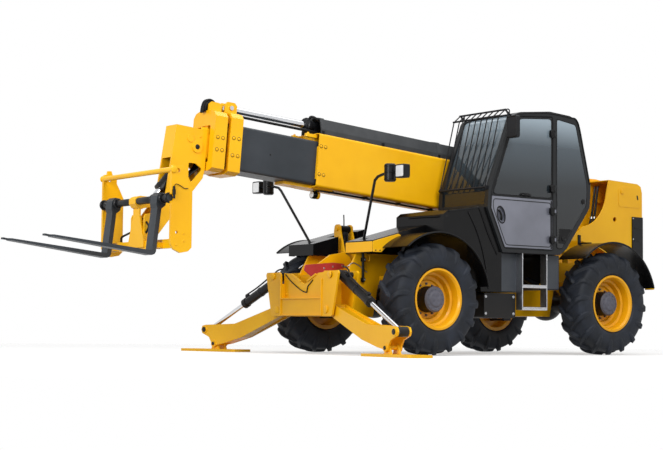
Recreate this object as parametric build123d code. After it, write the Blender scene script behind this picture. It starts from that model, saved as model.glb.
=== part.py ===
from build123d import *
import math
import os

# A four-stage telescopic handler with stabilisers, in millimetres.
# Everything is laid out from the front axle: X forward, Y to the machine's left, Z up from the ground.
# SHIFT_X then puts the origin under the middle of the whole machine.

# ---- wheels and axles -------------------------------------------------------
WHEELBASE = 2750
TYRE_R = 610
TYRE_W = 400
TYRE_SIDES = 16       # flats round a tyre's body, with as many lugs on each side
BODY_R = 574          # the tyre's body under its lugs
SIDEWALL_R = 440      # where the sidewall bends in to the bead
LUG_W = 48
LUG_RAKE = 38         # degrees between a lug and straight across the tread
TRACK_HALF = 1000
RIM_FLANGE_R = 335
RIM_BEAD_R = 308
RIM_HALF = 170
DISC_IN = 45          # how far the wheel disc's face sits inboard of the tyre's middle
HUB_R = 140
HUB_OUT = 112         # the planetary hub's end, outboard of the tyre's middle
KINGPIN_Y = 860
KNUCKLE_R = 150
YOKE_Z = 178          # where the yoke's arms begin above and below the axle line
YOKE_T = 28
ARCH_R = 716          # inside radius of the wheel arches
ARCH_T = 10
FENDER_IN = 770
FENDER_OUT = 1205

# ---- chassis and rear tower -------------------------------------------------
CHASSIS_HALF = 445
HOOD_FRONT = -770
HOOD_OUT = 1130        # outer side of the engine hood
SIDE_T = 20
WHEEL_NOTCH = 235     # half length of the side plates' cut-outs over the axles
TAIL_FLOOR = 800
BELLY_Z = 450
CHASSIS_TOP = 1110
TAIL_X = -3900
TOWER_HALF = 620
TOWER_T = 16
TOWER_TOP = 2140
CHEEK_IN = 250        # inner face of the plates that carry the boom's pivot
CHEEK_T = 30
CHEEK_TOP = 2200

# ---- stabilisers ------------------------------------------------------------
FRAME_X = 985         # front face of the stabiliser frame
FRAME_GAP = 240       # room for arm and cylinder between its two plates
FRAME_T = 25
FRAME_TOP = 905
FRAME_BOTTOM = 415
FRAME_REAR = FRAME_X - 2 * FRAME_T - FRAME_GAP
ARM_PIVOT = (475, 486)
ARM_EYE = (1779, 257)
FOOT_PIVOT = (1610, 93)
CYL_TOP = (550, 862)
SPLAY = 8             # degrees that each arm leans forward from straight sideways
ARM_W = 170
STAB_BARREL_R = 50
STAB_BARREL_LEN = 690
STAB_CLOSES = 455     # how much the stabiliser cylinders shorten as the arms fold up
ARM_PLATE = 20
ARM_BOSS = 8
ARM_WEB_END = 1130   # the arm is open above from here out, so that the cylinder folds in between its plates
PAD_HALF = 478
PAD_W = 300
PAD_T = 30
PAD_MID = 1677

# ---- boom -------------------------------------------------------------------
BOOM_PIVOT = (-3440, 1990)
BOOM_TILT = 4.5
AXIS_DROP = 220       # the stages' common axis below the pivot
OUTER = (210, 315, 280)     # half width, height above and depth below the axis
STAGE2 = (170, 228, 255)
STAGE3 = (135, 190, 218)
STAGE4 = (102, 154, 182)
WALL = 9
OUTER_END = 4366
OUTER_TAIL = -320
STAGE2_TAIL = 350
STAGE3_TAIL = 520
STAGE4_TAIL = 700
COLLAR2 = (5385, 5535)
COLLAR3 = (5580, 5735)
HEAD_START = 5765
RAM_AXIS = 415        # extension cylinder's axis above the stages' axis
EXT_BARREL_R = 62
EXT_ROD_R = 38
EXT_BARREL = (900, 4440)
COVER = (860, 4330)
COVER_HALF = 180
LIFT_BASE = (-3160, 1060)
LIFT_LUG = (2100, -645)     # along the boom and above the pivot, in the boom's own frame
LIFT_BARREL_R = 82
LIFT_BARREL_LEN = 1540
LIFT_CLOSES = 130     # how much it shortens as the boom goes down from its stored angle
LIFT_ROD_R = 50

# ---- boom head and carriage -------------------------------------------------
HEAD_HALF = 105
HEAD_PLATE = 20
HEAD_BOSS = 12        # how far the pin's boss stands out from the gooseneck's side
TILT_PIVOT = (2980, 1230)
TILT_BASE = (2430, 2160)
TILT_EYE = (2920, 1560)
TILT_EYE_HALF = 38
TILT_BARREL_R = 58
TILT_BARREL_LEN = 600
TILT_CLOSES = 50
TILT_ROD_R = 32
POST_OUT = 700
POST_T = 32
FORK_SHAFT = (3093, 1555)
FORK_SHAFT_R = 34
FORK_Y = 450
FORK_W = 125
FORK_T = 48
FORK_HEEL_Z = 982
FORK_LEN = 1190
FORK_LEAN = 7.2

# ---- cab --------------------------------------------------------------------
CAB_IN = 262
CAB_OUT = 1095
CAB_T = 42
CAB_FLOOR = CHASSIS_TOP + 50
DOOR_REAR = -1813
DOOR_SPLIT = 1790
DOOR_GAP = 6
HINGE_X = -1829
HINGE_Y = 1122
LOWER_HINGES = (1330, 1660)
UPPER_HINGES = (1920, 2560)
GLASS_T = 6
PILLAR = 60
CAB_CORNER = 90       # radius of the folds in the cab's walls and roof

SEAT = 0.3            # gap where one piece rests on another
RUN = 0.5             # running gap at pins, glands and bearings
NOSE_X = FRAME_REAR - SEAT

REAR_X = -WHEELBASE
HOOD_REAR = REAR_X + ARCH_R + ARCH_T + 14
FORK_TIP_X = FORK_SHAFT[0] + 1254
SHIFT_X = -(TAIL_X + FORK_TIP_X) / 2


def write(name, shape):
    """Move a finished piece into the machine's own frame and write it."""
    export_step(Pos(SHIFT_X, 0, 0) * shape, f"parts/{name}.step")


def box(x0, x1, y0, y1, z0, z1):
    return Pos((x0 + x1) / 2, (y0 + y1) / 2, (z0 + z1) / 2) * Box(x1 - x0, y1 - y0, z1 - z0)


def plate_xz(points, y0, y1):
    """A plate cut to an outline seen from the side."""
    outline = make_face(Polyline(*[(x, y1, z) for x, z in points], close=True))
    return extrude(outline, amount=y1 - y0, dir=(0, -1, 0))


def plate_yz(points, x0, x1):
    """A plate cut to an outline seen from the front."""
    outline = make_face(Polyline(*[(x0, y, z) for y, z in points], close=True))
    return extrude(outline, amount=x1 - x0, dir=(1, 0, 0))


def along_x(x0, x1, y, z, r):
    return Pos((x0 + x1) / 2, y, z) * Rot(0, 90, 0) * Cylinder(r, x1 - x0)


def along_y(y0, y1, x, z, r):
    return Pos(x, (y0 + y1) / 2, z) * Rot(90, 0, 0) * Cylinder(r, y1 - y0)


def along_z(z0, z1, x, y, r):
    return Pos(x, y, (z0 + z1) / 2) * Cylinder(r, z1 - z0)


def bar(start, end, r):
    """A round bar between two points."""
    a, b = Vector(*start), Vector(*end)
    return Plane(origin=(a + b) / 2, z_dir=(b - a).normalized()) * Cylinder(r, (b - a).length)


def mirrored(shape):
    return mirror(shape, about=Plane.XZ)


def both(shape):
    """A piece and its mirror image on the other side of the machine."""
    return shape + mirrored(shape)


def sides(name, shape):
    """Write a left piece and its mirror image as two nodes."""
    write(f"{name}_left", shape)
    write(f"{name}_right", mirrored(shape))


def boom_frame(shape):
    """Place a shape drawn along the boom, from its pivot, at the boom's stored angle."""
    return Pos(BOOM_PIVOT[0], 0, BOOM_PIVOT[1]) * Rot(0, -BOOM_TILT, 0) * shape


def in_boom(point):
    """A side-view point of the boom's own frame, in the machine's frame."""
    c, s = math.cos(math.radians(BOOM_TILT)), math.sin(math.radians(BOOM_TILT))
    return (BOOM_PIVOT[0] + point[0] * c - point[1] * s, BOOM_PIVOT[1] + point[0] * s + point[1] * c)


# ---- wheels -----------------------------------------------------------------
def rim_shape():
    """Deep-dished disc wheel with its hub, turned about Z, outboard up."""
    b, f, h = RIM_BEAD_R, RIM_FLANGE_R, RIM_HALF
    d = -DISC_IN
    outer = [(0, d - 22), (HUB_R + 12, d - 22), (200, d - 14), (b - 32, d - 14), (b - 26, -h + 30),
             (b - 16, -h), (f, -h), (f, 8 - h), (b, 20 - h), (b, h - 20), (f, h - 8), (f, h), (b + 4, h),
             (b - 12, h - 24), (b - 20, 62), (264, 50), (252, d + 38), (218, d + 28), (206, d + 6),
             (HUB_R, d), (HUB_R, HUB_OUT - 14), (HUB_R - 14, HUB_OUT), (72, HUB_OUT), (72, HUB_OUT + 10),
             (0, HUB_OUT + 10)]
    return revolve(make_face(Polyline(*[(r, 0, z) for r, z in outer], close=True)), axis=Axis.Z)


def stacked(sections):
    """A flat-sided solid through regular polygons at heights along Z, given as height and corner radius."""
    rings = []
    for z, r in sections:
        corners = [Vector(r, 0, z).rotate(Axis.Z, k * 360 / TYRE_SIDES) for k in range(TYRE_SIDES)]
        rings.append(Wire.make_polygon(corners, close=True))
    return Solid.make_loft(rings, ruled=True)


def tyre_lug():
    """A raked tread bar from past the tread's middle round the upper shoulder to the sidewall."""
    root, top = BODY_R - 34, TYRE_R - 1
    outline = [(root, -139), (top - 8, -139), (top, 0), (top - 6, 88), (BODY_R - 9, 118),
               (SIDEWALL_R + 20, 122), (SIDEWALL_R + 20, 90)]
    face = make_face(Polyline(*[(r, 0, s) for r, s in outline], close=True))
    lug = extrude(face, amount=LUG_W / 2, both=True, dir=(0, 1, 0))
    return Pos(0, 0, TYRE_W / 2 - 111) * Rot(LUG_RAKE, 0, 0) * lug


def tyre_shape():
    """Tyre on its beads with a chevron of lugs, turned about Z."""
    half, step = TYRE_W / 2, 360 / TYRE_SIDES
    bead = (RIM_BEAD_R + SEAT) / math.cos(math.radians(step / 2))
    seat, mouth = RIM_HALF - 30, half + 1
    body = stacked([(8 - half, SIDEWALL_R), (50 - half, BODY_R), (half - 50, BODY_R), (half - 8, SIDEWALL_R)])
    body -= stacked([(-mouth, SIDEWALL_R - 8), (-seat, bead), (seat, bead), (mouth, SIDEWALL_R - 8)])
    upper = tyre_lug()
    lower = mirror(upper, about=Plane.XY)
    lugs = [Rot(0, 0, i * step) * upper for i in range(TYRE_SIDES)]
    lugs += [Rot(0, 0, (i + 0.5) * step) * lower for i in range(TYRE_SIDES)]
    return Part() + [body] + lugs


def on_wheel(shape, x):
    """Stand a turned shape up at the left wheel of the axle at x."""
    return Pos(x, TRACK_HALF, TYRE_R) * Rot(-90, 0, 0) * shape


def knuckle(x):
    """Steering knuckle: a drum on the kingpin with the wheel's bearing face."""
    face_y = TRACK_HALF - DISC_IN - 22 - RUN
    drum = along_y(KINGPIN_Y - 60, face_y, x, TYRE_R, KNUCKLE_R)
    drum -= along_y(KINGPIN_Y - 61, KINGPIN_Y - 20, x, TYRE_R, KNUCKLE_R - 40)
    pins = along_z(TYRE_R - YOKE_Z - YOKE_T, TYRE_R + YOKE_Z + YOKE_T, x, KINGPIN_Y, 34)
    boss = along_z(TYRE_R - YOKE_Z + 5, TYRE_R + YOKE_Z - 5, x, KINGPIN_Y, 58)
    return drum + boss + pins


def axle(x, way):
    """Steered drive axle: differential housing, tapered arms and a yoke at each end."""
    tube_end = KINGPIN_Y - 215
    arm = Pos(x, 0, TYRE_R) * Rot(-90, 0, 0) * extrude(Circle(118), amount=tube_end, taper=3)
    reach = YOKE_Z + YOKE_T
    back = box(x - 62, x + 62, tube_end - 25, tube_end + 15, TYRE_R - reach, TYRE_R + reach)
    fork = back
    for side in (-1, 1):
        inner, outer = YOKE_Z, YOKE_Z + YOKE_T
        z0, z1 = sorted((TYRE_R + side * inner, TYRE_R + side * outer))
        fork += box(x - 62, x + 62, tube_end, KINGPIN_Y, z0, z1) + along_z(z0, z1, x, KINGPIN_Y, 62)
        fork -= along_z(z0 - 1, z1 + 1, x, KINGPIN_Y, 34 + RUN)
    housing = Pos(x, 60, TYRE_R) * Sphere(205)
    housing -= box(x - 300, x + 300, -300, 400, TYRE_R + 170, TYRE_R + 300)
    nose = along_x(min(x, x + way * 290), max(x, x + way * 290), 60, TYRE_R, 80)
    trunnion = along_x(x - 250, x + 250, 0, TYRE_R + 105, 45)
    return both(arm + fork) + housing + nose + trunnion


# ---- chassis ----------------------------------------------------------------
def frame_sides():
    """The two deep side plates, the right one with the levelling bracket, the left with the cab's feet."""
    notch = WHEEL_NOTCH
    profile = [(NOSE_X, FRAME_BOTTOM), (NOSE_X, 880), (560, CHASSIS_TOP), (TAIL_X + 60, CHASSIS_TOP),
               (TAIL_X + 60, TAIL_FLOOR), (REAR_X - notch - 90, TAIL_FLOOR), (REAR_X - notch, 870),
               (REAR_X + notch, 870), (REAR_X + notch + 90, BELLY_Z), (-notch - 90, BELLY_Z), (-notch, 870),
               (notch, 870), (notch + 90, FRAME_BOTTOM)]
    side = plate_xz(profile, CHASSIS_HALF - SIDE_T, CHASSIS_HALF)
    return (side + cab_feet()) + (mirrored(side) + levelling_brackets())


def frame_cross():
    """Belly plates and walls between the side plates, and the cradles that the axles hang in."""
    notch = WHEEL_NOTCH
    inner = CHASSIS_HALF - SIDE_T - SEAT
    front, rear = -notch - 90, REAR_X + notch + 90
    belly = box(rear, front, -inner, inner, BELLY_Z, BELLY_Z + SIDE_T)
    for x in (front - 10, rear + 10, (front + rear) / 2):
        belly += box(x - 10, x + 10, -inner, inner, BELLY_Z, 900)
    nose = box(notch + 90, NOSE_X, -inner, inner, FRAME_BOTTOM, FRAME_BOTTOM + SIDE_T)
    nose += box(NOSE_X - 20, NOSE_X, -inner, inner, FRAME_BOTTOM, 880)
    nose += box(NOSE_X - 400, NOSE_X, -inner, inner, 868, 880)
    nose += plate_xz([(300, 875), (260, 940), (260, 1010), (330, 1100), (400, 1137), (590, 1104),
                      (760, 998), (760, 882), (NOSE_X, 882), (NOSE_X, 875)], -12, 12)
    tail = box(TAIL_X + 60, REAR_X - notch - 90, -inner, inner, TAIL_FLOOR, TAIL_FLOOR + SIDE_T)
    tail += box(TAIL_X + 60, TAIL_X + 80, -inner, inner, TAIL_FLOOR, CHASSIS_TOP - 40)
    cross = belly + nose + (tail + tow_hitch() + lift_lugs())
    for x in (0, REAR_X):
        for way in (-1, 1):
            cradle = plate_yz([(-inner, 900), (-inner, 960), (inner, 960), (inner, 900), (110, 660),
                               (-110, 660)], x + way * 232 - 12, x + way * 232 + 12)
            cradle -= along_x(x - 300, x + 300, 0, TYRE_R + 105, 45 + RUN)
            cross += cradle - along_x(x - 300, x + 300, 60, TYRE_R, 90)
    return cross


def levelling_brackets():
    """The two upright plates over the right front wheel that hold the frame-levelling cylinder."""
    outline = [(-CHASSIS_HALF + SIDE_T, CHASSIS_TOP - 120), (-CHASSIS_HALF + SIDE_T, 1180), (-462, 1400),
               (-448, 1468), (-420, 1484), (-380, 1484), (-352, 1460), (-346, 1400), (-240, 1060),
               (-240, CHASSIS_TOP - 120)]
    plates = plate_yz(outline, -12, 12) + plate_yz(outline, 158, 182)
    plates += box(-12, 182, -CHASSIS_HALF + SIDE_T, -240, CHASSIS_TOP - 120, CHASSIS_TOP - 90)
    plates -= along_z(900, 1100, 85, -400, 56) + box(29, 141, -450, -400, 900, 1100)
    return plates + along_x(-30, 200, -400, 1430, 22)


def pivot_tower():
    """Cheek plates beside the boom's tail that carry its pivot."""
    out_y = CHEEK_IN + CHEEK_T
    foot = TAIL_FLOOR + SIDE_T + SEAT
    rear = TAIL_X + 80 + SEAT
    cheek = [(-2700, 1000), (-2700, 1250), (-3080, 1560), (-3190, 1900), (-3130, 2165), (-3180, CHEEK_TOP),
             (-3420, CHEEK_TOP), (rear, CHEEK_TOP - 50), (rear, foot), (-3085, foot), (-3085, 1000)]
    plate = plate_xz(cheek, CHEEK_IN, out_y)
    plate += along_y(out_y, out_y + 45, BOOM_PIVOT[0], BOOM_PIVOT[1], 95)
    plate -= along_y(CHEEK_IN - 1, out_y + 50, BOOM_PIVOT[0], BOOM_PIVOT[1], 50 + RUN)
    return both(plate + box(-2760, -2700, out_y - 5, CHASSIS_HALF - SIDE_T - SEAT, 1000, 1100))


def lift_lugs():
    """Lugs on the tail's floor that hold the lift cylinder's base."""
    x, z = LIFT_BASE
    low = TAIL_FLOOR + SIDE_T - 5
    lug = plate_xz([(x - 150, low), (x - 95, z + 60), (x - 50, z + 95), (x + 50, z + 95), (x + 95, z + 60),
                    (x + 80, low)], 105, 135)
    return both(lug - along_y(100, 140, x, z, 40 + RUN))


def tow_hitch():
    """Jaw under the tail for a drop pin."""
    jaw = box(TAIL_X + 10, TAIL_X + 200, -60, 60, 650, 672)
    jaw += box(TAIL_X + 10, TAIL_X + 200, -60, 60, 728, 750)
    jaw += box(TAIL_X + 100, TAIL_X + 200, -60, 60, 650, 805)
    return jaw - along_z(640, 760, TAIL_X + 50, 0, 17)


def cab_feet():
    """Blocks on the left side plate that the cab rests on."""
    feet = [box(x - 45, x + 45, CHASSIS_HALF - 60, CHASSIS_HALF, CHASSIS_TOP - 20, CAB_FLOOR - SEAT)
            for x in (-1150, -1860)]
    return feet[0] + feet[1]


def outer_panels():
    """The tower's side panels with their swept front edge, roof and rear returns."""
    x0 = TAIL_X
    with BuildLine() as edge:
        Polyline((-2480, 1100), (-2480, 1290), (-2830, 1560))
        ThreePointArc((-2830, 1560), (-3110, 1700), (-3240, 1960))
        Polyline((-3240, 1960), (-3290, TOWER_TOP + 20), (x0 + 90, TOWER_TOP), (x0 + 25, TOWER_TOP - 30),
                 (x0, TOWER_TOP - 110), (x0, 800), (x0 + 260, 800), (-3470, 1010), (-3260, 1240),
                 (-3000, 1350), (-2750, 1380), (-2600, 1370), (-2560, 1300), (-2560, 1100), (-2480, 1100))
    face = make_face(Plane.XZ.offset(-TOWER_HALF) * edge.line)
    side = extrude(face, amount=TOWER_T, dir=(0, -1, 0))
    raised = box(x0 + 40, x0 + 440, TOWER_HALF - 1, TOWER_HALF + 4, TOWER_TOP - 305, TOWER_TOP - 55)
    side += fillet(raised.edges().filter_by(Axis.Y), 45)
    side += along_y(TOWER_HALF, TOWER_HALF + 12, x0 + 375, TOWER_TOP - 115, 30)
    side -= along_y(TOWER_HALF - TOWER_T - 1, TOWER_HALF + 1, x0 + 507, TOWER_TOP - 468, 30)
    inner = CHEEK_IN + CHEEK_T + SEAT
    top = plate_xz([(-3290, TOWER_TOP + 20), (x0 + 90, TOWER_TOP), (x0 + 90, TOWER_TOP - 12),
                    (-3290, TOWER_TOP + 8)], inner, TOWER_HALF)
    rear = box(x0, x0 + 14, inner, TOWER_HALF, 820, TOWER_TOP - 110)
    rear += plate_xz([(x0, TOWER_TOP - 110), (x0 + 25, TOWER_TOP - 30), (x0 + 90, TOWER_TOP),
                      (x0 + 90, TOWER_TOP - 14), (x0 + 34, TOWER_TOP - 40), (x0 + 14, TOWER_TOP - 110)],
                     inner, TOWER_HALF)
    floor = box(x0 + 14, -3470, inner, TOWER_HALF, CHASSIS_TOP + SEAT, CHASSIS_TOP + 14)
    return both(side + top + rear + floor)


# ---- stabilisers ------------------------------------------------------------
def stabiliser_frame():
    """Two parallel plates across the nose, with uprights, a box beam below and a notched panel between."""
    upright = [(360, FRAME_BOTTOM), (395, FRAME_TOP - 20), (420, FRAME_TOP), (650, FRAME_TOP),
               (668, FRAME_TOP - 25), (562, FRAME_BOTTOM + 15), (545, FRAME_BOTTOM)]
    front, rear = FRAME_X, FRAME_X - 2 * FRAME_T - FRAME_GAP
    frame = plate_yz(upright, front - FRAME_T, front) + plate_yz(upright, rear, rear + FRAME_T)
    through = FRAME_GAP / 2 + 2 * FRAME_T
    for pivot, r in ((ARM_PIVOT, 34), (CYL_TOP, 30)):
        frame -= splayed(along_x(-through, through, *pivot, r + RUN))
    frame += box(rear, front, 360, 384, FRAME_BOTTOM, FRAME_TOP - 130)
    frame = both(frame)
    panel = [(-384, FRAME_BOTTOM), (-384, FRAME_TOP - 8), (-250, FRAME_TOP - 18), (-60, 790), (0, 770),
             (60, 790), (250, FRAME_TOP - 18), (384, FRAME_TOP - 8), (384, FRAME_BOTTOM)]
    frame += plate_yz(panel, front - 62, front - 62 + 16)
    frame += box(front - 62, front - 4, -372, 372, FRAME_BOTTOM + 4, 612)
    frame += box(rear, rear + FRAME_T, -372, 372, FRAME_BOTTOM, 880)
    return frame


def splayed(shape):
    """Lean a shape drawn in the plane of X = 0 forward about the left arm's upright line."""
    mid = FRAME_X - FRAME_T - FRAME_GAP / 2
    return Pos(mid, ARM_PIVOT[0], 0) * Rot(0, 0, -SPLAY) * Pos(0, -ARM_PIVOT[0], 0) * shape


def stabiliser_arm():
    """Dog-leg box arm: two plates and a web, lugged at its outer end for cylinder and foot."""
    (py, pz), (ey, ez), (fy, fz) = ARM_PIVOT, ARM_EYE, FOOT_PIVOT
    outline = [(py - 60, pz - 10), (py - 45, pz + 45), (py + 10, pz + 66), (py + 90, pz + 40), (1175, 348),
               (1250, 328), (1560, 318), (ey - 20, ez + 56), (ey + 40, ez + 44), (ey + 58, ez),
               (ey + 40, ez - 42),
               (1700, 170), (fy + 52, fz + 20), (fy + 40, fz - 26), (fy, fz - 42), (fy - 60, fz - 12),
               (1450, 96), (1130, 172), (py - 10, pz - 64)]
    half = ARM_W / 2
    plates = plate_yz(outline, half - ARM_PLATE, half) + plate_yz(outline, -half, ARM_PLATE - half)
    web = plate_yz([(py + 62, pz - 72), (py + 100, pz + 20), (ARM_WEB_END, 334), (ARM_WEB_END, 312),
                    (py + 150, 440), (py + 130, 400), (1140, 190), (1440, 118), (1440, 100), (1130, 176)],
                   -half + ARM_PLATE, half - ARM_PLATE)
    root = along_x(-half, half, py, pz, 60)
    pin = along_x(-FRAME_GAP / 2 - FRAME_T - 10, FRAME_GAP / 2 + FRAME_T + 10, py, pz, 34)
    arm = plates + web + root + pin
    for y, z, r in ((ey, ez, 26), (fy, fz, 22)):
        boss = along_x(-half - ARM_BOSS, half + ARM_BOSS, y, z, r + 18)
        arm += boss - along_x(ARM_PLATE - half, half - ARM_PLATE, y, z, r + 19)
        arm -= along_x(-half - ARM_BOSS - 1, half + ARM_BOSS + 1, y, z, r + RUN)
    return splayed(arm)


def stabiliser_foot():
    """Flat pad with two ears on a pin under the arm's end."""
    fy, fz = FOOT_PIVOT
    pad = box(-PAD_W / 2, PAD_W / 2, PAD_MID - PAD_HALF, PAD_MID + PAD_HALF, 0, PAD_T)
    pad = chamfer(pad.edges().filter_by(Axis.Z), 30)
    ear = [(fy - 70, PAD_T - 2), (fy - 34, fz + 18), (fy - 14, fz + 36), (fy + 14, fz + 36),
           (fy + 34, fz + 18), (fy + 70, PAD_T - 2)]
    out = ARM_W / 2 - ARM_PLATE - 2
    ears = plate_yz(ear, out - 20, out) + plate_yz(ear, -out, 20 - out)
    pin = along_x(-ARM_W / 2 - 10, ARM_W / 2 + 10, fy, fz, 22)
    return splayed(pad + ears + pin)


def cylinder_pair(base, eye, barrel_r, barrel_len, closes, rod_r, pin_r, pin_half, eye_half, eye_r, in_plane):
    """A hydraulic cylinder's barrel and rod, drawn from its base pin along +Z and laid from base to eye."""
    length = math.dist(base, eye)
    gland = barrel_len
    barrel = Rot(90, 0, 0) * Cylinder(eye_r, 2 * eye_half)
    barrel += Rot(90, 0, 0) * Cylinder(pin_r, 2 * pin_half)
    barrel += Pos(0, 0, (eye_r * 0.6 + gland) / 2) * Cylinder(barrel_r, gland - eye_r * 0.6)
    barrel += Pos(0, 0, gland - 25) * Cylinder(barrel_r + 7, 50)
    bore_start = eye_r + 25
    barrel -= Pos(0, 0, (bore_start + gland - 40) / 2) * Cylinder(barrel_r - 10, gland - 40 - bore_start)
    barrel -= Pos(0, 0, gland - 20) * Cylinder(rod_r + RUN, 60)
    rod_start = bore_start + 15 + closes
    rod_end = length - eye_r * 0.5
    rod = Pos(0, 0, (rod_start + 30 + rod_end) / 2) * Cylinder(rod_r, rod_end - rod_start - 30)
    rod += Pos(0, 0, rod_start + 20) * Cylinder(barrel_r - 10 - RUN, 40)
    rod += Pos(0, 0, length) * Rot(90, 0, 0) * Cylinder(eye_r - 2, 2 * eye_half)
    angle = math.degrees(math.atan2(eye[0] - base[0], eye[1] - base[1]))
    if in_plane == "xz":
        place = Pos(base[0], 0, base[1]) * Rot(0, angle, 0)
    else:
        place = Pos(0, base[0], base[1]) * Rot(-angle, 0, 0) * Rot(0, 0, 90)
    return place * barrel, place * rod


# ---- boom -------------------------------------------------------------------
def stage_box(section, u0, u1, wall):
    """A hollow boom section with folded corners, open at both ends."""
    half, up, down = section
    mid, height = (up - down) / 2, up + down
    outer = Pos((u0 + u1) / 2, 0, mid) * Box(u1 - u0, 2 * half, height)
    outer = fillet(outer.edges().filter_by(Axis.X), 28)
    inner = Pos((u0 + u1) / 2, 0, mid) * Box(u1 - u0 + 2, 2 * (half - wall), height - 2 * wall)
    inner = fillet(inner.edges().filter_by(Axis.X), 28 - wall)
    return outer - inner


def pads_between(section, inner, u0, u1):
    """Wear pads on the inside of a section's mouth, which the next stage slides on."""
    half, up, down = section
    h2, up2, down2 = inner
    pads = box(u0, u1, h2 + RUN, half - WALL, -down2 + 60, up2 - 60)
    pads = both(pads)
    pads += box(u0, u1, -h2 + 60, h2 - 60, up2 + RUN, up - WALL)
    pads += box(u0, u1, -h2 + 60, h2 - 60, WALL - down, -down2 - RUN)
    return pads


def tail_pads(section, outer, u0, u1):
    """Wear pads on the outside of a section's tail, which run in the section round it."""
    half, up, down = section
    ho, upo, downo = outer
    pads = both(box(u0, u1, half, ho - WALL - RUN, -down + 60, up - 60))
    pads += box(u0, u1, -half + 60, half - 60, up, upo - WALL - RUN)
    return pads


def collar(hole, flare, u0, u1, lug_top):
    """The bolted head frame round a section's mouth, flared to a larger outline."""
    half, up, down = flare
    outer = [(half + 50, -down - 30), (half + 50, up + 60), (half + 10, up + 110), (half - 60, up + 130),
             (60 - half, up + 130), (-half - 10, up + 110), (-half - 50, up + 60), (-half - 50, -down - 30),
             (30 - half, -down - 60), (half - 30, -down - 60)]
    ring = plate_yz(outer, u0, u1)
    ring -= box(u0 - 1, u1 + 1, -hole[0], hole[0], -hole[2], hole[1])
    lug = plate_xz([(u0, up + 100), (u0, lug_top - 30), (u0 + 30, lug_top), (u1 - 30, lug_top),
                    (u1, lug_top - 30), (u1, up + 100)], 48, 72)
    return ring + both(lug)


def boom_outer():
    half, up, down = OUTER
    body = stage_box(OUTER, OUTER_TAIL, OUTER_END, WALL)
    body = Pos(0, 0, -AXIS_DROP) * (body + pads_between(OUTER, STAGE2, OUTER_END - 110, OUTER_END - 5))
    corner = plate_xz([(OUTER_TAIL - 1, -AXIS_DROP - down - 1), (OUTER_TAIL - 1, -AXIS_DROP - 90),
                       (-60, -AXIS_DROP - down - 1)], -half - 1, half + 1)
    body -= corner
    body -= along_y(-half - 1, half + 1, 0, 0, 49)
    tube = along_y(-CHEEK_IN - CHEEK_T - 40, CHEEK_IN + CHEEK_T + 40, 0, 0, 50)
    boss = both(along_y(half - 12, CHEEK_IN - 5, 0, 0, 110))
    lu, lw = LIFT_LUG
    bottom = -AXIS_DROP - down
    lug = plate_xz([(lu - 190, bottom + 2), (lu - 62, lw - 20), (lu - 40, lw - 52), (lu, lw - 66),
                    (lu + 40, lw - 52), (lu + 62, lw - 20), (lu + 190, bottom + 2)], 68, 96)
    lug -= along_y(60, 100, lu, lw, 36)
    shoe = box(OUTER_END, OUTER_END + 345, -95, 95, bottom - 12, bottom + 22)
    shoe += box(OUTER_END - 300, OUTER_END, -120, 120, bottom - 12, bottom + 1)
    lamp = along_x(OUTER_END - 195, OUTER_END - 105, 0, bottom - 62, 42)
    lamp += box(OUTER_END - 170, OUTER_END - 130, -12, 12, bottom - 60, bottom + 2)
    return boom_frame(body + tube + boss + both(lug) + shoe + lamp)


def cover_section(grow, low):
    """Outline of the cover over the extension cylinder, in the boom's own frame, made larger all round."""
    shoulder = -AXIS_DROP + OUTER[1] + 52 + grow / 2
    top = -AXIS_DROP + RAM_AXIS + 88 + grow
    right = [(COVER_HALF + grow, low), (COVER_HALF + grow, shoulder), (140 + grow / 2, top - 14), (60, top)]
    return right + [(-y, z) for y, z in reversed(right)]


def boom_cover():
    """Moulded cover over the extension cylinder, open below, with three clamping bands."""
    low = -AXIS_DROP + OUTER[1] + SEAT
    u0, u1 = COVER
    cover = plate_yz(cover_section(0, low), u0, u1)
    for u in (u0, (u0 + u1) / 2 - 25, u1 - 50):
        cover += plate_yz(cover_section(8, low), u, u + 50)
    return boom_frame(cover - plate_yz(cover_section(-8, low - 1), u0 - 1, u1 + 1))


def extension_barrel():
    w = -AXIS_DROP + RAM_AXIS
    u0, u1 = EXT_BARREL
    base = -AXIS_DROP + OUTER[1] + SEAT
    tube = along_x(u0, u1, 0, w, EXT_BARREL_R) - along_x(u0 + 25, u1 - 40, 0, w, EXT_BARREL_R - 12)
    tube -= along_x(u1 - 60, u1 + 1, 0, w, EXT_ROD_R + RUN)
    tube += along_x(u1 - 70, u1, 0, w, EXT_BARREL_R + 12) - along_x(u1 - 71, u1 + 1, 0, w, EXT_ROD_R + RUN)
    tube -= along_x(u0 + 25, u1 - 40, 0, w, EXT_BARREL_R - 12)
    for u in (u0 + 60, (u0 + u1) / 2, u1 - 170):
        saddle = box(u, u + 60, -55, 55, base, w)
        tube += saddle - along_x(u - 1, u + 61, 0, w, EXT_BARREL_R - 6)
    return boom_frame(tube)


def extension_rod():
    w = -AXIS_DROP + RAM_AXIS
    end = (COLLAR2[0] + COLLAR2[1]) / 2
    start = EXT_BARREL[0] + 60
    rod = along_x(start + 40, end, 0, w, EXT_ROD_R)
    rod += along_x(start, start + 60, 0, w, EXT_BARREL_R - 12 - RUN)
    rod += along_y(-46, 46, end, w, 52)
    pin = along_y(-90, 90, end, w, 24)
    return boom_frame(rod + pin)


def boom_stage2():
    body = stage_box(STAGE2, STAGE2_TAIL, COLLAR2[1] - 2, WALL)
    body += pads_between(STAGE2, STAGE3, COLLAR2[0], COLLAR2[1] - 20)
    body += tail_pads(STAGE2, OUTER, STAGE2_TAIL, STAGE2_TAIL + 120)
    return boom_frame(Pos(0, 0, -AXIS_DROP) * body)


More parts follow.
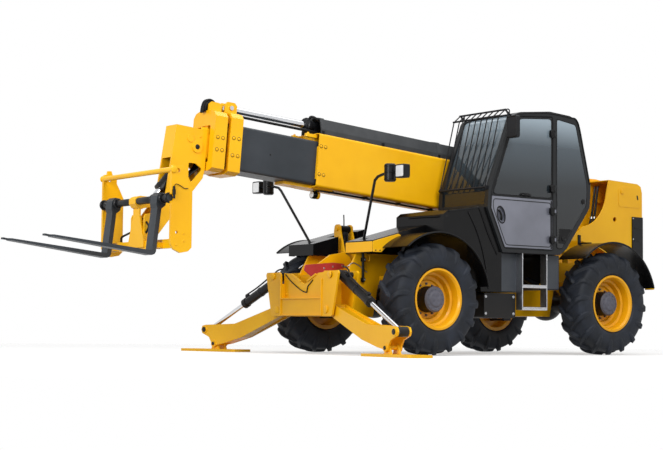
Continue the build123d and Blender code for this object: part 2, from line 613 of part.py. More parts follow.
def boom_collar2():
    """The second stage's head frame, slid over its mouth, with the lugs that the extension rod pulls on."""
    head = collar([size + SEAT for size in STAGE2], STAGE2, *COLLAR2, RAM_AXIS + 62)
    head -= along_y(-80, 80, (COLLAR2[0] + COLLAR2[1]) / 2, RAM_AXIS, 24 + RUN)
    return boom_frame(Pos(0, 0, -AXIS_DROP) * head)


def boom_stage3():
    body = stage_box(STAGE3, STAGE3_TAIL, COLLAR3[1] - 2, WALL)
    body += pads_between(STAGE3, STAGE4, COLLAR3[0], COLLAR3[1] - 20)
    body += tail_pads(STAGE3, STAGE2, STAGE3_TAIL, STAGE3_TAIL + 120)
    flare = (STAGE2[0] - 4, STAGE2[1] - 10, STAGE2[2] - 10)
    body += collar([size - WALL for size in STAGE3], flare, *COLLAR3, RAM_AXIS + 30)
    return boom_frame(Pos(0, 0, -AXIS_DROP) * body)


def head_outline():
    """Side outline of the gooseneck, in the machine's frame."""
    px, pz = TILT_PIVOT
    return [(2300, 2345), (2680, 2378), (2800, 1640), (2960, 1430), (px + 62, pz + 60), (px + 78, pz),
            (px + 55, pz - 55), (px, pz - 78), (px - 60, pz - 52), (2640, 1520), (2511, 1649), (2355, 1836),
            (2330, 1930)]


def boom_head():
    """Fourth stage with the welded gooseneck that drops to the carriage."""
    body = stage_box(STAGE4, STAGE4_TAIL, HEAD_START + 60, WALL)
    body += tail_pads(STAGE4, STAGE3, STAGE4_TAIL, STAGE4_TAIL + 120)
    body = boom_frame(Pos(0, 0, -AXIS_DROP) * body)
    outline = head_outline()
    plates = both(plate_xz(outline, HEAD_HALF - HEAD_PLATE, HEAD_HALF))
    inner = HEAD_HALF - HEAD_PLATE
    top = plate_xz([(2300, 2345), (2680, 2378), (2736, 2034), (2718, 2031), (2664, 2358), (2300, 2327)],
                   -inner, inner)
    back = plate_xz([(2330, 1930), (2355, 1836), (2511, 1649), (2640, 1520), (2900, 1210), (2916, 1222),
                     (2655, 1532), (2526, 1661), (2372, 1844), (2348, 1932)], -inner, inner)
    px, pz = TILT_PIVOT
    tube = along_y(-inner, inner, px, pz, 60)
    boss = both(along_y(HEAD_HALF - 2, HEAD_HALF + HEAD_BOSS, *TILT_BASE, 62) +
                along_y(HEAD_HALF - 2, HEAD_HALF + 8, 2510, 2243, 38))
    window = plate_xz([(2360, 1930), (2440, 1985), (2530, 1990), (2530, 1840), (2500, 1780)],
                      -HEAD_HALF - 1, HEAD_HALF + 1)
    head = body + plates + top + back + tube + boss - fillet(window.edges().filter_by(Axis.Y), 16)
    head -= along_y(-HEAD_HALF - 1, HEAD_HALF + 1, px, pz, 35 + RUN)
    return head - along_y(-HEAD_HALF - HEAD_BOSS - 1, HEAD_HALF + HEAD_BOSS + 1, *TILT_BASE, 26 + RUN)


# ---- carriage and forks -----------------------------------------------------
def carriage():
    """Two outer posts joined by a low beam and a top bar, with cheeks on the tilt pin and a middle column."""
    px, pz = TILT_PIVOT
    sx, sz = FORK_SHAFT
    post = [(2936, 1880), (3080, 1880), (3096, 1860), (3096, 1100), (3060, 1045), (2985, 1012), (2895, 1030),
            (2853, 1070), (2853, 1640), (2900, 1729), (2936, 1793)]
    plate = plate_xz(post, POST_OUT - POST_T, POST_OUT) - along_y(0, POST_OUT + 1, 3019, 1828, 20)
    frame = both(plate - along_y(0, POST_OUT + 1, 3029, 1214, 16))
    frame += plate_xz([(2985, 1870), (3002, 1922), (3040, 1922), (3052, 1870)], -POST_OUT, POST_T - POST_OUT)
    frame += along_y(-POST_OUT - 8, POST_OUT + 8, 3078, 1835, 27)
    cheek = [(px - 70, pz - 40), (px - 70, 1330), (2935, 1400), (2990, 1435), (3050, 1425), (3065, 1390),
             (3065, 1070), (px - 20, 1060)]
    frame += both(plate_xz(cheek, HEAD_HALF + 10, HEAD_HALF + 32))
    frame += box(3015, 3065, -POST_OUT + POST_T, POST_OUT - POST_T, 1060, 1150)
    frame += both(box(3060, 3135, FORK_Y - 55, FORK_Y + 55, 1066, 1118))
    frame += plate_yz([(-150, 1085), (-150, 1150), (-62, 1420), (-62, 1500), (62, 1500), (62, 1420),
                       (150, 1150), (150, 1085)], 3064, 3082)
    ex, ez = TILT_EYE
    lug = [(ex - 42, ez - 14), (ex - 42, ez + 14), (ex - 16, ez + 46), (sx - 18, sz + 57), (sx + 17, sz + 45),
           (sx + 41, sz + 20), (sx + 41, sz - 25), (sx + 7, sz - 65), (sx - 29, sz - 75), (ex - 16, ez - 46)]
    lug_in = TILT_EYE_HALF + 5
    frame += both(plate_xz(lug, lug_in, lug_in + 20) - along_y(lug_in - 1, lug_in + 21, ex, ez, 26 + RUN))
    frame += plate_xz([(sx - 60, sz - 75), (sx - 60, sz + 50), *lug[3:9]], -lug_in - 1, lug_in + 1)
    frame -= along_y(-POST_OUT, POST_OUT, sx, sz, FORK_SHAFT_R + SEAT)
    pin = along_y(-HEAD_HALF - 2, HEAD_HALF + 2, px, pz, 35)
    return frame + pin + both(along_y(HEAD_HALF + 1, HEAD_HALF + 50, px, pz, 35))


def fork_shaft():
    shaft = along_y(-POST_OUT + POST_T - SEAT, POST_OUT - POST_T - 2 + SEAT, *FORK_SHAFT, FORK_SHAFT_R)
    return shaft


def forks():
    """Two L forks hung on their shaft, leaning back against the lower beam."""
    sx, sz = FORK_SHAFT
    drop = sz - FORK_HEEL_Z
    r = FORK_SHAFT_R + SEAT
    outline = [(-30, 60), (24, 60), (54, 20), (54, -60), (36, -100), (36, FORK_T - drop),
               (60, FORK_T - drop - 2), (FORK_LEN, 18 - drop), (FORK_LEN, -drop), (30, -drop), (0, 14 - drop),
               (-12, 40 - drop), (-12, -100), (-54, -60), (-54, 20)]
    fork = plate_xz(outline, -FORK_W / 2, FORK_W / 2) - along_y(-FORK_W, FORK_W, 0, 0, r)
    fork -= Pos(FORK_LEN + 25, FORK_W / 2 + 10, -drop) * Rot(0, 0, 20) * Box(200, 70, 200)
    fork -= Pos(FORK_LEN + 25, -FORK_W / 2 - 10, -drop) * Rot(0, 0, -20) * Box(200, 70, 200)
    fork = Rot(0, -FORK_LEAN, 0) * fork
    return Pos(sx, FORK_Y, sz) * fork + Pos(sx, -FORK_Y, sz) * fork


# ---- cab --------------------------------------------------------------------
CAB_OUTLINE = [(-1017, CAB_FLOOR), (-785, 1643), (-799, 1846), (-1137, 2711), (-1290, 2772), (-1763, 2821),
               (-2095, 2800), (-2247, 2754), (-2450, 1997), (-2433, 1735), (-2044, 1234), (-1928, CAB_FLOOR)]
DOORWAY = [(-1050, 1212), (-838, 1650), (-850, 1840), (-1172, 2668), (-1300, 2720), (DOOR_REAR, 2760),
           (DOOR_REAR, 1212)]
QUARTER = [(-1880, 1235), (-1880, 2740), (-2190, 2700), (-2385, 1990), (-2372, 1760), (-1990, 1268),
           (-1960, 1235)]
FRONT_WINDOW = [(-900, 1690), (-900, 1840), (-1195, 2620), (-1330, 2680), (-1150, 2860), (-700, 2500),
                (-700, 1690)]
REAR_WINDOW = [(-2300, 1960), (-2130, 2640), (-2300, 2750), (-2600, 1960)]
RIGHT_WINDOW = [(-1000, 1880), (-1220, 2500), (-2080, 2600), (-2260, 1990), (-2200, 1880)]


def shrunk(points, amount, y0, y1):
    """A plate cut to an outline made smaller all round."""
    face = make_face(Polyline(*[(x, z) for x, z in points], close=True))
    small = offset(face, -amount, kind=Kind.INTERSECTION)
    solid = extrude(small, amount=y1 - y0)
    return Pos(0, y1, 0) * Rot(90, 0, 0) * solid


def cab_plate(inset, y0, y1):
    """A plate of the cab's side outline with its folds rounded, made smaller all round."""
    face = make_face(Polyline(*CAB_OUTLINE, close=True))
    face = fillet([v for v in face.vertices() if v.Y > CAB_FLOOR + 100], CAB_CORNER)
    solid = extrude(offset(face, -inset, kind=Kind.INTERSECTION), amount=y1 - y0)
    return Pos(0, y1, 0) * Rot(90, 0, 0) * solid


def cab_frame():
    """Hollow cab body with its doorway and window openings cut through the walls."""
    body = cab_plate(0, CAB_IN, CAB_OUT)
    body -= cab_plate(CAB_T, CAB_IN + CAB_T, CAB_OUT - CAB_T)
    body -= shrunk(DOORWAY, 0, CAB_OUT - CAB_T - 2, CAB_OUT + 1)
    body -= shrunk(QUARTER, 0, CAB_OUT - CAB_T - 2, CAB_OUT + 1)
    body -= plate_xz(FRONT_WINDOW, CAB_IN + PILLAR, CAB_OUT - PILLAR)
    body -= plate_xz(REAR_WINDOW, CAB_IN + PILLAR, CAB_OUT - PILLAR)
    body -= plate_xz(RIGHT_WINDOW, CAB_IN - 1, CAB_IN + CAB_T + 2)
    for z in LOWER_HINGES + UPPER_HINGES:
        body += hinge_pin(z)
    return body


def door_plate(z0, z1):
    """The door's full thickness between two heights."""
    plate = shrunk(DOORWAY, DOOR_GAP, CAB_OUT - CAB_T, CAB_OUT)
    return plate & box(-2500, 0, 0, 2000, z0, z1)


def hinge_leaf(z):
    """A hinge block on the door's face with a knuckle that turns on the cab's pin."""
    leaf = box(DOOR_REAR + DOOR_GAP, DOOR_REAR + 53, CAB_OUT - 4, HINGE_Y + 12, z - 40, z + 40)
    leaf += box(HINGE_X, DOOR_REAR + 20, CAB_OUT + 8, HINGE_Y + 12, z - 18, z + 18)
    leaf += along_z(z - 18, z + 18, HINGE_X, HINGE_Y, 12)
    return leaf - along_z(z - 19, z + 19, HINGE_X, HINGE_Y, 6 + RUN)


def hinge_pin(z):
    """The pin and the two ears on the cab's face that carry one hinge."""
    ears = box(HINGE_X - 12, HINGE_X + 12, CAB_OUT - 2, HINGE_Y + 12, z + 18 + RUN, z + 40)
    ears += box(HINGE_X - 12, HINGE_X + 12, CAB_OUT - 2, HINGE_Y + 12, z - 40, z - 18 - RUN)
    return ears + along_z(z - 40, z + 40, HINGE_X, HINGE_Y, 6)


def door_lower():
    door = door_plate(1100, DOOR_SPLIT - DOOR_GAP / 2)
    recess = Rot(0, 17, 0) * Rot(90, 0, 0) * extrude(Ellipse(58, 96), amount=21)
    door -= Pos(-992, CAB_OUT + 1, 1580) * recess
    return door + hinge_leaf(LOWER_HINGES[0]) + hinge_leaf(LOWER_HINGES[1])


def door_upper():
    door = door_plate(DOOR_SPLIT + DOOR_GAP / 2, 2900)
    opening = shrunk(DOORWAY, DOOR_GAP + 62, CAB_OUT - CAB_T - 1, CAB_OUT + 1)
    door -= opening & box(-2500, 0, 0, 2000, DOOR_SPLIT + 65, 2900)
    door += along_y(CAB_OUT - 2, CAB_OUT + 34, -1356, DOOR_SPLIT + 34, 16)
    return door + hinge_leaf(UPPER_HINGES[0]) + hinge_leaf(UPPER_HINGES[1])


def door_glass():
    y = CAB_OUT - CAB_T / 2
    pane = shrunk(DOORWAY, DOOR_GAP + 62 + SEAT, y, y + GLASS_T)
    return pane & box(-2500, 0, 0, 2000, DOOR_SPLIT + 65 + SEAT, 2900)


def wall_pane(window):
    """A bent pane set in the middle of the cab's wall, where a window goes through it from side to side."""
    y0, y1 = CAB_IN + PILLAR + SEAT, CAB_OUT - PILLAR - SEAT
    pane = cab_plate(CAB_T / 2, y0, y1) - cab_plate(CAB_T / 2 + GLASS_T, y0 - 1, y1 + 1)
    return pane & shrunk(window, SEAT, y0, y1)


def cab_glass():
    """Windscreen, quarter, rear and right panes, each seated in its opening."""
    quarter = shrunk(QUARTER, SEAT, CAB_OUT - CAB_T / 2, CAB_OUT - CAB_T / 2 + GLASS_T)
    right = shrunk(RIGHT_WINDOW, SEAT, CAB_IN + CAB_T / 2, CAB_IN + CAB_T / 2 + GLASS_T)
    return quarter + right + wall_pane(FRONT_WINDOW) + wall_pane(REAR_WINDOW)


def seat():
    """Operator's seat: cushion and back as plain soft blocks on a box base."""
    y0, y1 = 440, 920
    cushion = fillet(box(-1960, -1480, y0, y1, 1640, 1760).edges(), 25)
    back = Pos(-1990, 680, 1990) * Rot(0, -8, 0) * Box(110, 460, 560)
    back = fillet(back.edges(), 25)
    return cushion + back


def cab_interior():
    floor_z = CAB_FLOOR + CAB_T + SEAT
    base = box(-1900, -1540, 520, 840, floor_z, 1640 - SEAT)
    console = plate_xz([(-1062, floor_z), (-1000, 1400), (-880, 1640), (-890, 1760), (-1060, 1740),
                        (-1180, 1300), (-1180, floor_z)], CAB_IN + CAB_T + 40, CAB_OUT - CAB_T - 60)
    column = bar((-1110, 680, 1500), (-1250, 680, 1840), 32)
    wheel = Pos(-1262, 680, 1850) * Rot(0, -24, 0) * (Torus(180, 15) + Cylinder(40, 30) + Box(350, 24, 12))
    return base + (console + column + wheel)


def cab_guard():
    """Window guard of slanted bars off the windscreen, bent back over the roof's front edge."""
    foot, knee, crown = (-775, 1880), (-990, 2705), (-1090, 2785)
    ys = [CAB_IN + 40 + i * (CAB_OUT - CAB_IN - 80) / 8 for i in range(9)]
    cab = cab_plate(-SEAT, CAB_IN - 50, CAB_OUT + 50)
    guard = Part()
    for x, z in (foot, knee, crown):
        guard += along_y(ys[0] - 14, ys[-1] + 14, x, z, 11)
    for y in ys:
        guard += bar((foot[0], y, foot[1]), (knee[0], y, knee[1]), 7)
        guard += bar((knee[0], y, knee[1]), (crown[0], y, crown[1]), 7)
    for y in (ys[0], ys[-1]):
        guard += box(-850, -775, y - 15, y + 15, 1860, 1900)
        guard += bar((crown[0], y, crown[1]), (-1190, y, 2720), 10)
    return guard - cab


# ---- body panels ------------------------------------------------------------
def arch(x, start, end, r0, r1, y0, y1):
    """A sheet bent round a wheel, between two angles above the axle line."""
    outer, inner = CenterArc((0, 0), r1, start, end - start), CenterArc((0, 0), r0, start, end - start)
    face = make_face([outer, inner, Line(outer @ 0, inner @ 0), Line(outer @ 1, inner @ 1)])
    return Pos(x, y1, TYRE_R) * Rot(90, 0, 0) * extrude(face, amount=y1 - y0)


def wheel_arch(x, start, end):
    sheet = arch(x, start, end, ARCH_R, ARCH_R + ARCH_T, FENDER_IN, FENDER_OUT)
    return sheet + arch(x, start, end, ARCH_R, ARCH_R + ARCH_T + 8, FENDER_OUT - 16, FENDER_OUT)


def fender_bracket(x):
    top = TYRE_R + ARCH_R + 4
    inner, outer = CHASSIS_HALF + SEAT, FENDER_IN + 60
    outline = [(inner, 1010), (inner, 1180), (600, top + 24), (outer, top + 24), (outer, top - 3),
               (610, top - 3), (CHASSIS_HALF + 30, 1150), (CHASSIS_HALF + 30, 1010)]
    return plate_yz(outline, x - 22, x + 22)


def front_fenders():
    left = wheel_arch(0, 50, 168) + fender_bracket(-60)
    return left + mirrored(wheel_arch(0, 50, 168) + fender_bracket(-60))


def rear_fenders():
    one = wheel_arch(REAR_X, 46, 164)
    x = REAR_X
    top = TYRE_R + ARCH_R + 4
    one += box(x - 22, x + 22, TOWER_HALF + SEAT, FENDER_IN + 40, top, top + 22)
    one += box(x - 22, x + 22, TOWER_HALF + SEAT, TOWER_HALF + 14, top, 1450)
    return both(one)


def nose_fairing():
    """Sloping cover between the nose plate and the front wheel arch."""
    low = CHASSIS_TOP + SEAT
    shape = plate_xz([(600, low), (600, 1238), (-152, 1438), (-152, low)], 300, FENDER_IN - SEAT)
    hollow = plate_xz([(585, low - 1), (585, 1220), (-140, 1414), (-140, low - 1)], 315, FENDER_IN - 15)
    shape -= hollow
    cut = along_y(CHASSIS_HALF, FENDER_IN + 10, 0, TYRE_R, ARCH_R + ARCH_T + SEAT)
    shape -= cut
    shape -= box(455, 520, CHASSIS_HALF - 10, 530, low - 1, 1300)
    return shape - box(-90, -30, CHASSIS_HALF - 1, FENDER_IN + 1, low - 1, TYRE_R + ARCH_R + 32)


def nose_fairing_right():
    return mirrored(nose_fairing()) - box(-40, 240, -520, -200, CHASSIS_TOP - 20, 1600)


def front_cowl():
    """Moulded cover behind the left front wheel, rising to the foot of the windscreen."""
    low = CHASSIS_TOP + SEAT
    with BuildLine() as edge:
        Polyline((-155, 1440), (-155, 1545), (-215, 1588), (-700, 1655), (-800, 1655), (-1032, 1152),
                 (-1032, 712), (-155, 712), (-155, 1440))
    face = make_face(Plane.XZ.offset(-1062) * edge.line)
    block = extrude(face, amount=1062 - CHASSIS_HALF - SEAT, dir=(0, -1, 0))
    top = plate_xz([(-155, low), (-155, 1545), (-215, 1588), (-700, 1655), (-790, 1655), (-1010, 1170),
                    (-1010, low)], CAB_IN, CHASSIS_HALF + 5)
    block = block + top
    block -= along_y(CHASSIS_HALF, 1300, 0, TYRE_R, ARCH_R + ARCH_T + SEAT)
    block -= along_y(FENDER_OUT - 20, 1300, 0, TYRE_R, ARCH_R + ARCH_T + 10)
    block -= cab_plate(-SEAT, CAB_IN - 20, CAB_OUT)
    return block - box(-90, -30, CHASSIS_HALF - 1, FENDER_IN + 61, low - 200, TYRE_R + ARCH_R + 32)


def engine_hood():
    """Side-mounted engine housing with louvres, open towards the frame."""
    inner = CHASSIS_HALF + SEAT
    front, rear = HOOD_FRONT, HOOD_REAR
    outline = [(front, 560), (front, 1330), (front - 80, 1420), (rear + 110, 1400), (rear, 1280), (rear, 620),
               (rear + 60, 560)]
    shell = plate_xz(outline, -HOOD_OUT, -inner)
    shell = fillet(shell.edges().filter_by(lambda e: abs(e.center().Y + HOOD_OUT) < 1), 40)
    t = 18
    room = [(front - t, 560 + t), (front - t, 1330 - t / 2), (front - 80 - t / 2, 1420 - t),
            (rear + 110 + t / 2, 1400 - t), (rear + t, 1280 - t / 2), (rear + t, 620 + t / 2),
            (rear + 60 + t / 2, 560 + t)]
    shell -= plate_xz(room, t - HOOD_OUT, -inner + 1)
    for i in range(9):
        for x in (rear + 150, front - 550):
            shell -= box(x, x + 400, -HOOD_OUT - 10, 30 - HOOD_OUT, 800 + 48 * i, 822 + 48 * i)
    return shell


def engine_block():
    """The engine as one plain block inside its hood, against the frame."""
    return box(HOOD_REAR + 260, HOOD_FRONT - 180, 230 - HOOD_OUT, -CHASSIS_HALF - SEAT, 600, 1250)


def side_boxes():
    """Tank, battery box and low locker between the wheels on the cab's side."""
    inner = CHASSIS_HALF + SEAT
    tank = fillet(box(-1445, -1045, inner, 985, 713, CAB_FLOOR - SEAT).edges().filter_by(Axis.Y), 18)
    battery = fillet(box(-2030, -1784, inner, 985, 756, CAB_FLOOR - SEAT).edges().filter_by(Axis.Y), 18)
    locker = fillet(box(-1300, -815, inner, 1010, 420, 700).edges().filter_by(Axis.Y), 24)
    return tank + battery + locker


def side_steps():
    """Two treads between hanging rails below the door."""
    rails = box(-1347, -1335, 985 + SEAT, 1085, 515, CAB_FLOOR - SEAT)
    rails += box(-1737, -1725, 985 + SEAT, 1085, 515, CAB_FLOOR - SEAT)
    treads = box(-1737, -1335, 985 + SEAT, 1085, 768, 800) + box(-1737, -1335, 985 + SEAT, 1085, 515, 547)
    return rails + treads


def tail_lamps():
    """Black lamp housings wrapped round the tower's rear corners."""
    x, y = TAIL_X - SEAT, TOWER_HALF + SEAT
    shell = box(x - 14, -3705, 470, y + 14, 1170, 1720) - box(x, -3700, 400, y, 1160, 1730)
    shell = chamfer(shell.edges().filter_by(Axis.Z).sort_by(Axis.Y)[-1:], 8)
    for z in (1260, 1420, 1580):
        shell += box(-3870, -3740, y + 13, y + 19, z - 7, z + 7)
    return both(shell)


def front_mirrors():
    """Bent posts at the nose, each with an upright drum and a square lamp at its outer end."""
    y = CHASSIS_HALF + SEAT + 16
    route = [(480, y, 790), (490, y + 4, 1215), (653, 865, 1875), (653, 917, 1912), (653, 1007, 1931),
             (653, 1260, 1940)]
    post = Part()
    for start, end in zip(route, route[1:]):
        post += bar(start, end, 15) + Pos(*end) * Sphere(15)
    for z in (820, 1040):
        post += box(460, 505, CHASSIS_HALF + SEAT, y + 12, z - 22, z + 22)
    drum = chamfer(along_z(1843, 2033, 653, 1120, 63).edges().filter_by(GeomType.CIRCLE), 12)
    lamp = fillet(box(612, 690, 1250, 1395, 1870, 2012).edges().filter_by(Axis.X), 14)
    return both(post + drum + lamp)


def cab_mirror():
    arm = bar((-1140, CAB_OUT - 12, 2600), (-1020, 1230, 2600), 10)
    arm -= box(-1300, -1000, 1000, CAB_OUT + SEAT, 2500, 2700)
    return arm + fillet(box(-1055, -1005, 1160, 1330, 2440, 2690).edges().filter_by(Axis.X), 25)


def counterweight():
    half = CHEEK_IN - SEAT
    return chamfer(box(-3815, -3330, -half, half, 820 + SEAT, 1340).edges().filter_by(Axis.Y), 20)


def levelling_cylinder():
    barrel = along_z(CHASSIS_TOP + 15, 1400, 85, -400, 44) + along_x(20, 150, -400, 1430, 44)
    barrel += along_z(740 + SEAT, CHASSIS_TOP + 20, 85, -400, 24)
    return barrel - along_x(0, 170, -400, 1430, 22 + RUN)


os.makedirs("parts", exist_ok=True)

write("axles", axle(0, -1) + axle(REAR_X, 1) + box(60, 110, -430, -370, 610, 740))
for end, x in (("front", 0), ("rear", REAR_X)):
    sides(f"knuckle_{end}", knuckle(x))
    sides(f"rim_{end}", on_wheel(rim_shape(), x))
    sides(f"tyre_{end}", on_wheel(tyre_shape(), x))

write("frame_sides", frame_sides())
write("frame_cross", frame_cross())
write("pivot_tower", pivot_tower())
write("tower_panels", outer_panels())
write("counterweight", counterweight())
write("stabiliser_frame", stabiliser_frame())
sides("stabiliser_arm", stabiliser_arm())
sides("stabiliser_foot", stabiliser_foot())
stab_barrel, stab_rod = cylinder_pair(CYL_TOP, ARM_EYE, STAB_BARREL_R, STAB_BARREL_LEN, STAB_CLOSES, 26, 30,
                                      FRAME_GAP / 2 + FRAME_T + 10, ARM_W / 2 - ARM_PLATE - 6, 52, "yz")
sides("stabiliser_barrel", splayed(stab_barrel))
sides("stabiliser_rod", splayed(stab_rod))

write("boom_outer", boom_outer())
write("boom_cover", boom_cover())
write("boom_stage2", boom_stage2())
write("boom_collar2", boom_collar2())
write("boom_stage3", boom_stage3())
write("boom_head", boom_head())
write("extension_barrel", extension_barrel())
write("extension_rod", extension_rod())
lift_barrel, lift_rod = cylinder_pair(LIFT_BASE, in_boom(LIFT_LUG), LIFT_BARREL_R, LIFT_BARREL_LEN,
                                      LIFT_CLOSES, LIFT_ROD_R, 40, 140, 60, 80, "xz")
write("lift_barrel", lift_barrel)
write("lift_rod", lift_rod)
tilt_barrel, tilt_rod = cylinder_pair(TILT_BASE, TILT_EYE, TILT_BARREL_R, TILT_BARREL_LEN, TILT_CLOSES,
                                      TILT_ROD_R, 26, HEAD_HALF + HEAD_BOSS, TILT_EYE_HALF, 56, "xz")
write("tilt_barrel", tilt_barrel)
write("tilt_rod", tilt_rod)
write("carriage", carriage())
write("forks", forks() + fork_shaft())

write("cab_frame", cab_frame())
write("cab_glass", cab_glass())
write("cab_guard", cab_guard())
write("cab_interior", cab_interior())
write("seat", seat())
write("door_lower", door_lower())
write("door_upper", door_upper())
write("door_glass", door_glass())

write("fenders", front_fenders() + rear_fenders())
write("nose_fairings", nose_fairing() + nose_fairing_right())
write("front_cowl", front_cowl())
write("engine_hood", engine_hood())
write("engine_block", engine_block())
write("side_boxes", side_boxes())
write("side_steps", side_steps())
write("tail_lamps", tail_lamps())
write("mirrors", front_mirrors() + cab_mirror())
write("levelling_cylinder", levelling_cylinder())
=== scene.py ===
import bmesh
import bpy
import math
import numpy as np
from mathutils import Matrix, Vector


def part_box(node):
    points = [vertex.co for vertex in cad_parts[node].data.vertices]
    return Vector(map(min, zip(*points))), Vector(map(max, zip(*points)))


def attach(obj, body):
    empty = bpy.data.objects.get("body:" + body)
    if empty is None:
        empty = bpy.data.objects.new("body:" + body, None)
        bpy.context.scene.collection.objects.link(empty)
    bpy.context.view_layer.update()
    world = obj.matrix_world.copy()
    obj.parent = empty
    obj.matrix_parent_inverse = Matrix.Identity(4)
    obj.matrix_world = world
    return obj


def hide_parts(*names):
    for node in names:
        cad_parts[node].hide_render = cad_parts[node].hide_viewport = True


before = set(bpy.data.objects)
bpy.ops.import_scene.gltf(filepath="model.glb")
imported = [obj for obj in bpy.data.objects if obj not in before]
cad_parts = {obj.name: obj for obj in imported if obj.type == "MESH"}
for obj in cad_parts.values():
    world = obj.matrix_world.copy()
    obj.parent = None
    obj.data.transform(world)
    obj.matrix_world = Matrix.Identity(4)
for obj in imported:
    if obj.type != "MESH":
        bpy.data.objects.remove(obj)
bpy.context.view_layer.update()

# A four-stage telescopic handler: X forward, Y to the machine's left, Z up from the ground.
# Trim is drawn in millimetres from the front axle's line on the ground, whose X in metres is FRONT, and
# angles are in radians.
MM = 0.001
hub_low, hub_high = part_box("rim_front_left")
FRONT = (hub_low.x + hub_high.x) / 2
TRACK_Y = 1000.0
TYRE_R = 610.0
REAR_X = -2750.0
LUGS = 16
RAKE = math.radians(38)
BOOM_TILT = math.radians(4.5)
PIVOT_X, PIVOT_Z = -3440.0, 1990.0
AXIS_DROP = 220.0
RAM_AXIS = 415.0
FORK_X, FORK_Z = 3093.0, 1555.0
SPLAY = math.radians(8)
ARM_X, ARM_Y = 840.0, 475.0
# Faces that trim stands on, square to X then to Y, with the drum post's axis and a fender's radius.
NOSE_X, PANEL_X, TAIL = 985.0, 944.0, -3900.3
CAB_SIDE, STEP_EDGE, LAMP_SIDE, FENDER_EDGE = 1095.0, 1086.0, 634.3, 1203.0
POST_X, FENDER_R = 653.0, 722.0
# The stabiliser cylinder's two pins and the foot's, as (y, z), and the cylinder's pin-to-pin length.
CYL_TOP, ARM_EYE, FOOT_PIN = (550.0, 862.0), (1779.0, 257.0), (1610.0, 93.0)
EYE_REACH = 1369.8
AHEAD, LEFT, UP = (1, 0, 0), (0, 1, 0), (0, 0, 1)


# ---- materials ----
def linear(code):
    """sRGB hex to linear RGBA: (c / 12.92) below the toe, ((c + 0.055) / 1.055) ** 2.4 above it."""
    c = np.array([int(code[i:i + 2], 16) / 255 for i in (1, 3, 5)])
    rgb = np.where(c <= 0.04045, c / 12.92, ((c + 0.055) / 1.055) ** 2.4)
    return (*rgb.tolist(), 1.0)


def lay(tree, node, **settings):
    """Set a node's properties and sockets. A socket goes by its name, or by its number as _0, _1."""
    for name, value in settings.items():
        if hasattr(node, name):
            setattr(node, name, value)
            continue
        socket = node.inputs[int(name[1:]) if name[0] == "_" else name.replace("_", " ")]
        if isinstance(value, bpy.types.NodeSocket):
            tree.links.new(value, socket)
        else:
            socket.default_value = value


def add(tree, kind, out=0, **settings):
    """Add one node and give back one of its outputs, the first unless another is asked for."""
    node = tree.nodes.new("ShaderNode" + kind)
    lay(tree, node, **settings)
    return node.outputs[out] if node.outputs else node


def blank(name):
    """A new material, its node tree, its shader and the place on the object that its patterns follow."""
    material = bpy.data.materials.new(name)
    material.use_nodes = True
    tree = material.node_tree
    return material, tree, tree.nodes["Principled BSDF"], add(tree, "TexCoord", "Object")


def ramp(tree, factor, stops):
    """A colour ramp of (position, hex) stops."""
    tone = add(tree, "ValToRGB", Fac=factor)
    band = tone.node.color_ramp
    while len(band.elements) < len(stops):
        band.elements.new(0.5)
    for element, (position, code) in zip(band.elements, stops):
        element.position = position
        element.color = linear(code)
    return tone


def per_mm(size):
    """Noise scale whose features measure about size millimetres on Object coordinates in metres."""
    return 1000.0 / size


def spread(tree, value, low, high, to_low=0.0, to_high=1.0):
    """A value carried from one range to another."""
    return add(tree, "MapRange", Value=value, From_Min=low, From_Max=high, To_Min=to_low, To_Max=to_high)


def relief(tree, height, strength, depth, round_mm):
    """Bump of a height on normals that are rounded over the edges."""
    soft = add(tree, "Bevel", samples=4, Radius=round_mm * MM)
    return add(tree, "Bump", Strength=strength, Distance=depth, Height=height, Normal=soft)


def coated(name, base, low, high, roughness, coat=0.0, peel=0.0006, metallic=0.0, specular=0.5):
    """Paint or powder coat: cloudy tone over 0.6 m, road dust towards the ground, and a sprayed skin."""
    material, tree, shader, place = blank(name)
    cloud = add(tree, "TexNoise", Vector=place, Scale=per_mm(600), Detail=3.0, Roughness=0.55)
    tone = ramp(tree, cloud, [(0.3, low), (0.52, base), (0.75, high)])
    height = add(tree, "SeparateXYZ", "Z", Vector=place)
    speck = add(tree, "TexNoise", Vector=place, Scale=per_mm(45), Detail=6.0, Roughness=0.7)
    band = spread(tree, height, 0.05, 0.8, 0.12, 0.0)
    dust = add(tree, "Math", operation="MULTIPLY", _0=band, _1=speck)
    mixed = add(tree, "Mix", 2, data_type="RGBA", _0=dust, _6=tone, _7=linear("#6E5B40"))
    gloss = spread(tree, speck, 0.3, 0.8, roughness - 0.04, roughness + 0.10)
    skin = add(tree, "TexNoise", Vector=place, Scale=per_mm(4), Detail=2.0)
    lay(tree, shader, Base_Color=mixed, Roughness=gloss, Normal=relief(tree, skin, 0.25, peel, 3),
        Metallic=metallic, Specular_IOR_Level=specular, Coat_Weight=coat, Coat_Roughness=0.08)
    return material


def steel(name, base, worn, roughness, grain, stretch):
    """Bare or plated metal: lines drawn out along one axis by the way it was turned, ground or rolled."""
    material, tree, shader, place = blank(name)
    drawn = add(tree, "Mapping", Vector=place, Scale=stretch)
    lines = add(tree, "TexNoise", Vector=drawn, Scale=per_mm(grain), Detail=3.0)
    tone = ramp(tree, lines, [(0.3, worn), (0.65, base)])
    gloss = spread(tree, lines, 0.3, 0.7, roughness, roughness + 0.1)
    lay(tree, shader, Base_Color=tone, Roughness=gloss, Normal=relief(tree, lines, 0.2, 0.0004, 1.5),
        Metallic=1.0)
    return material


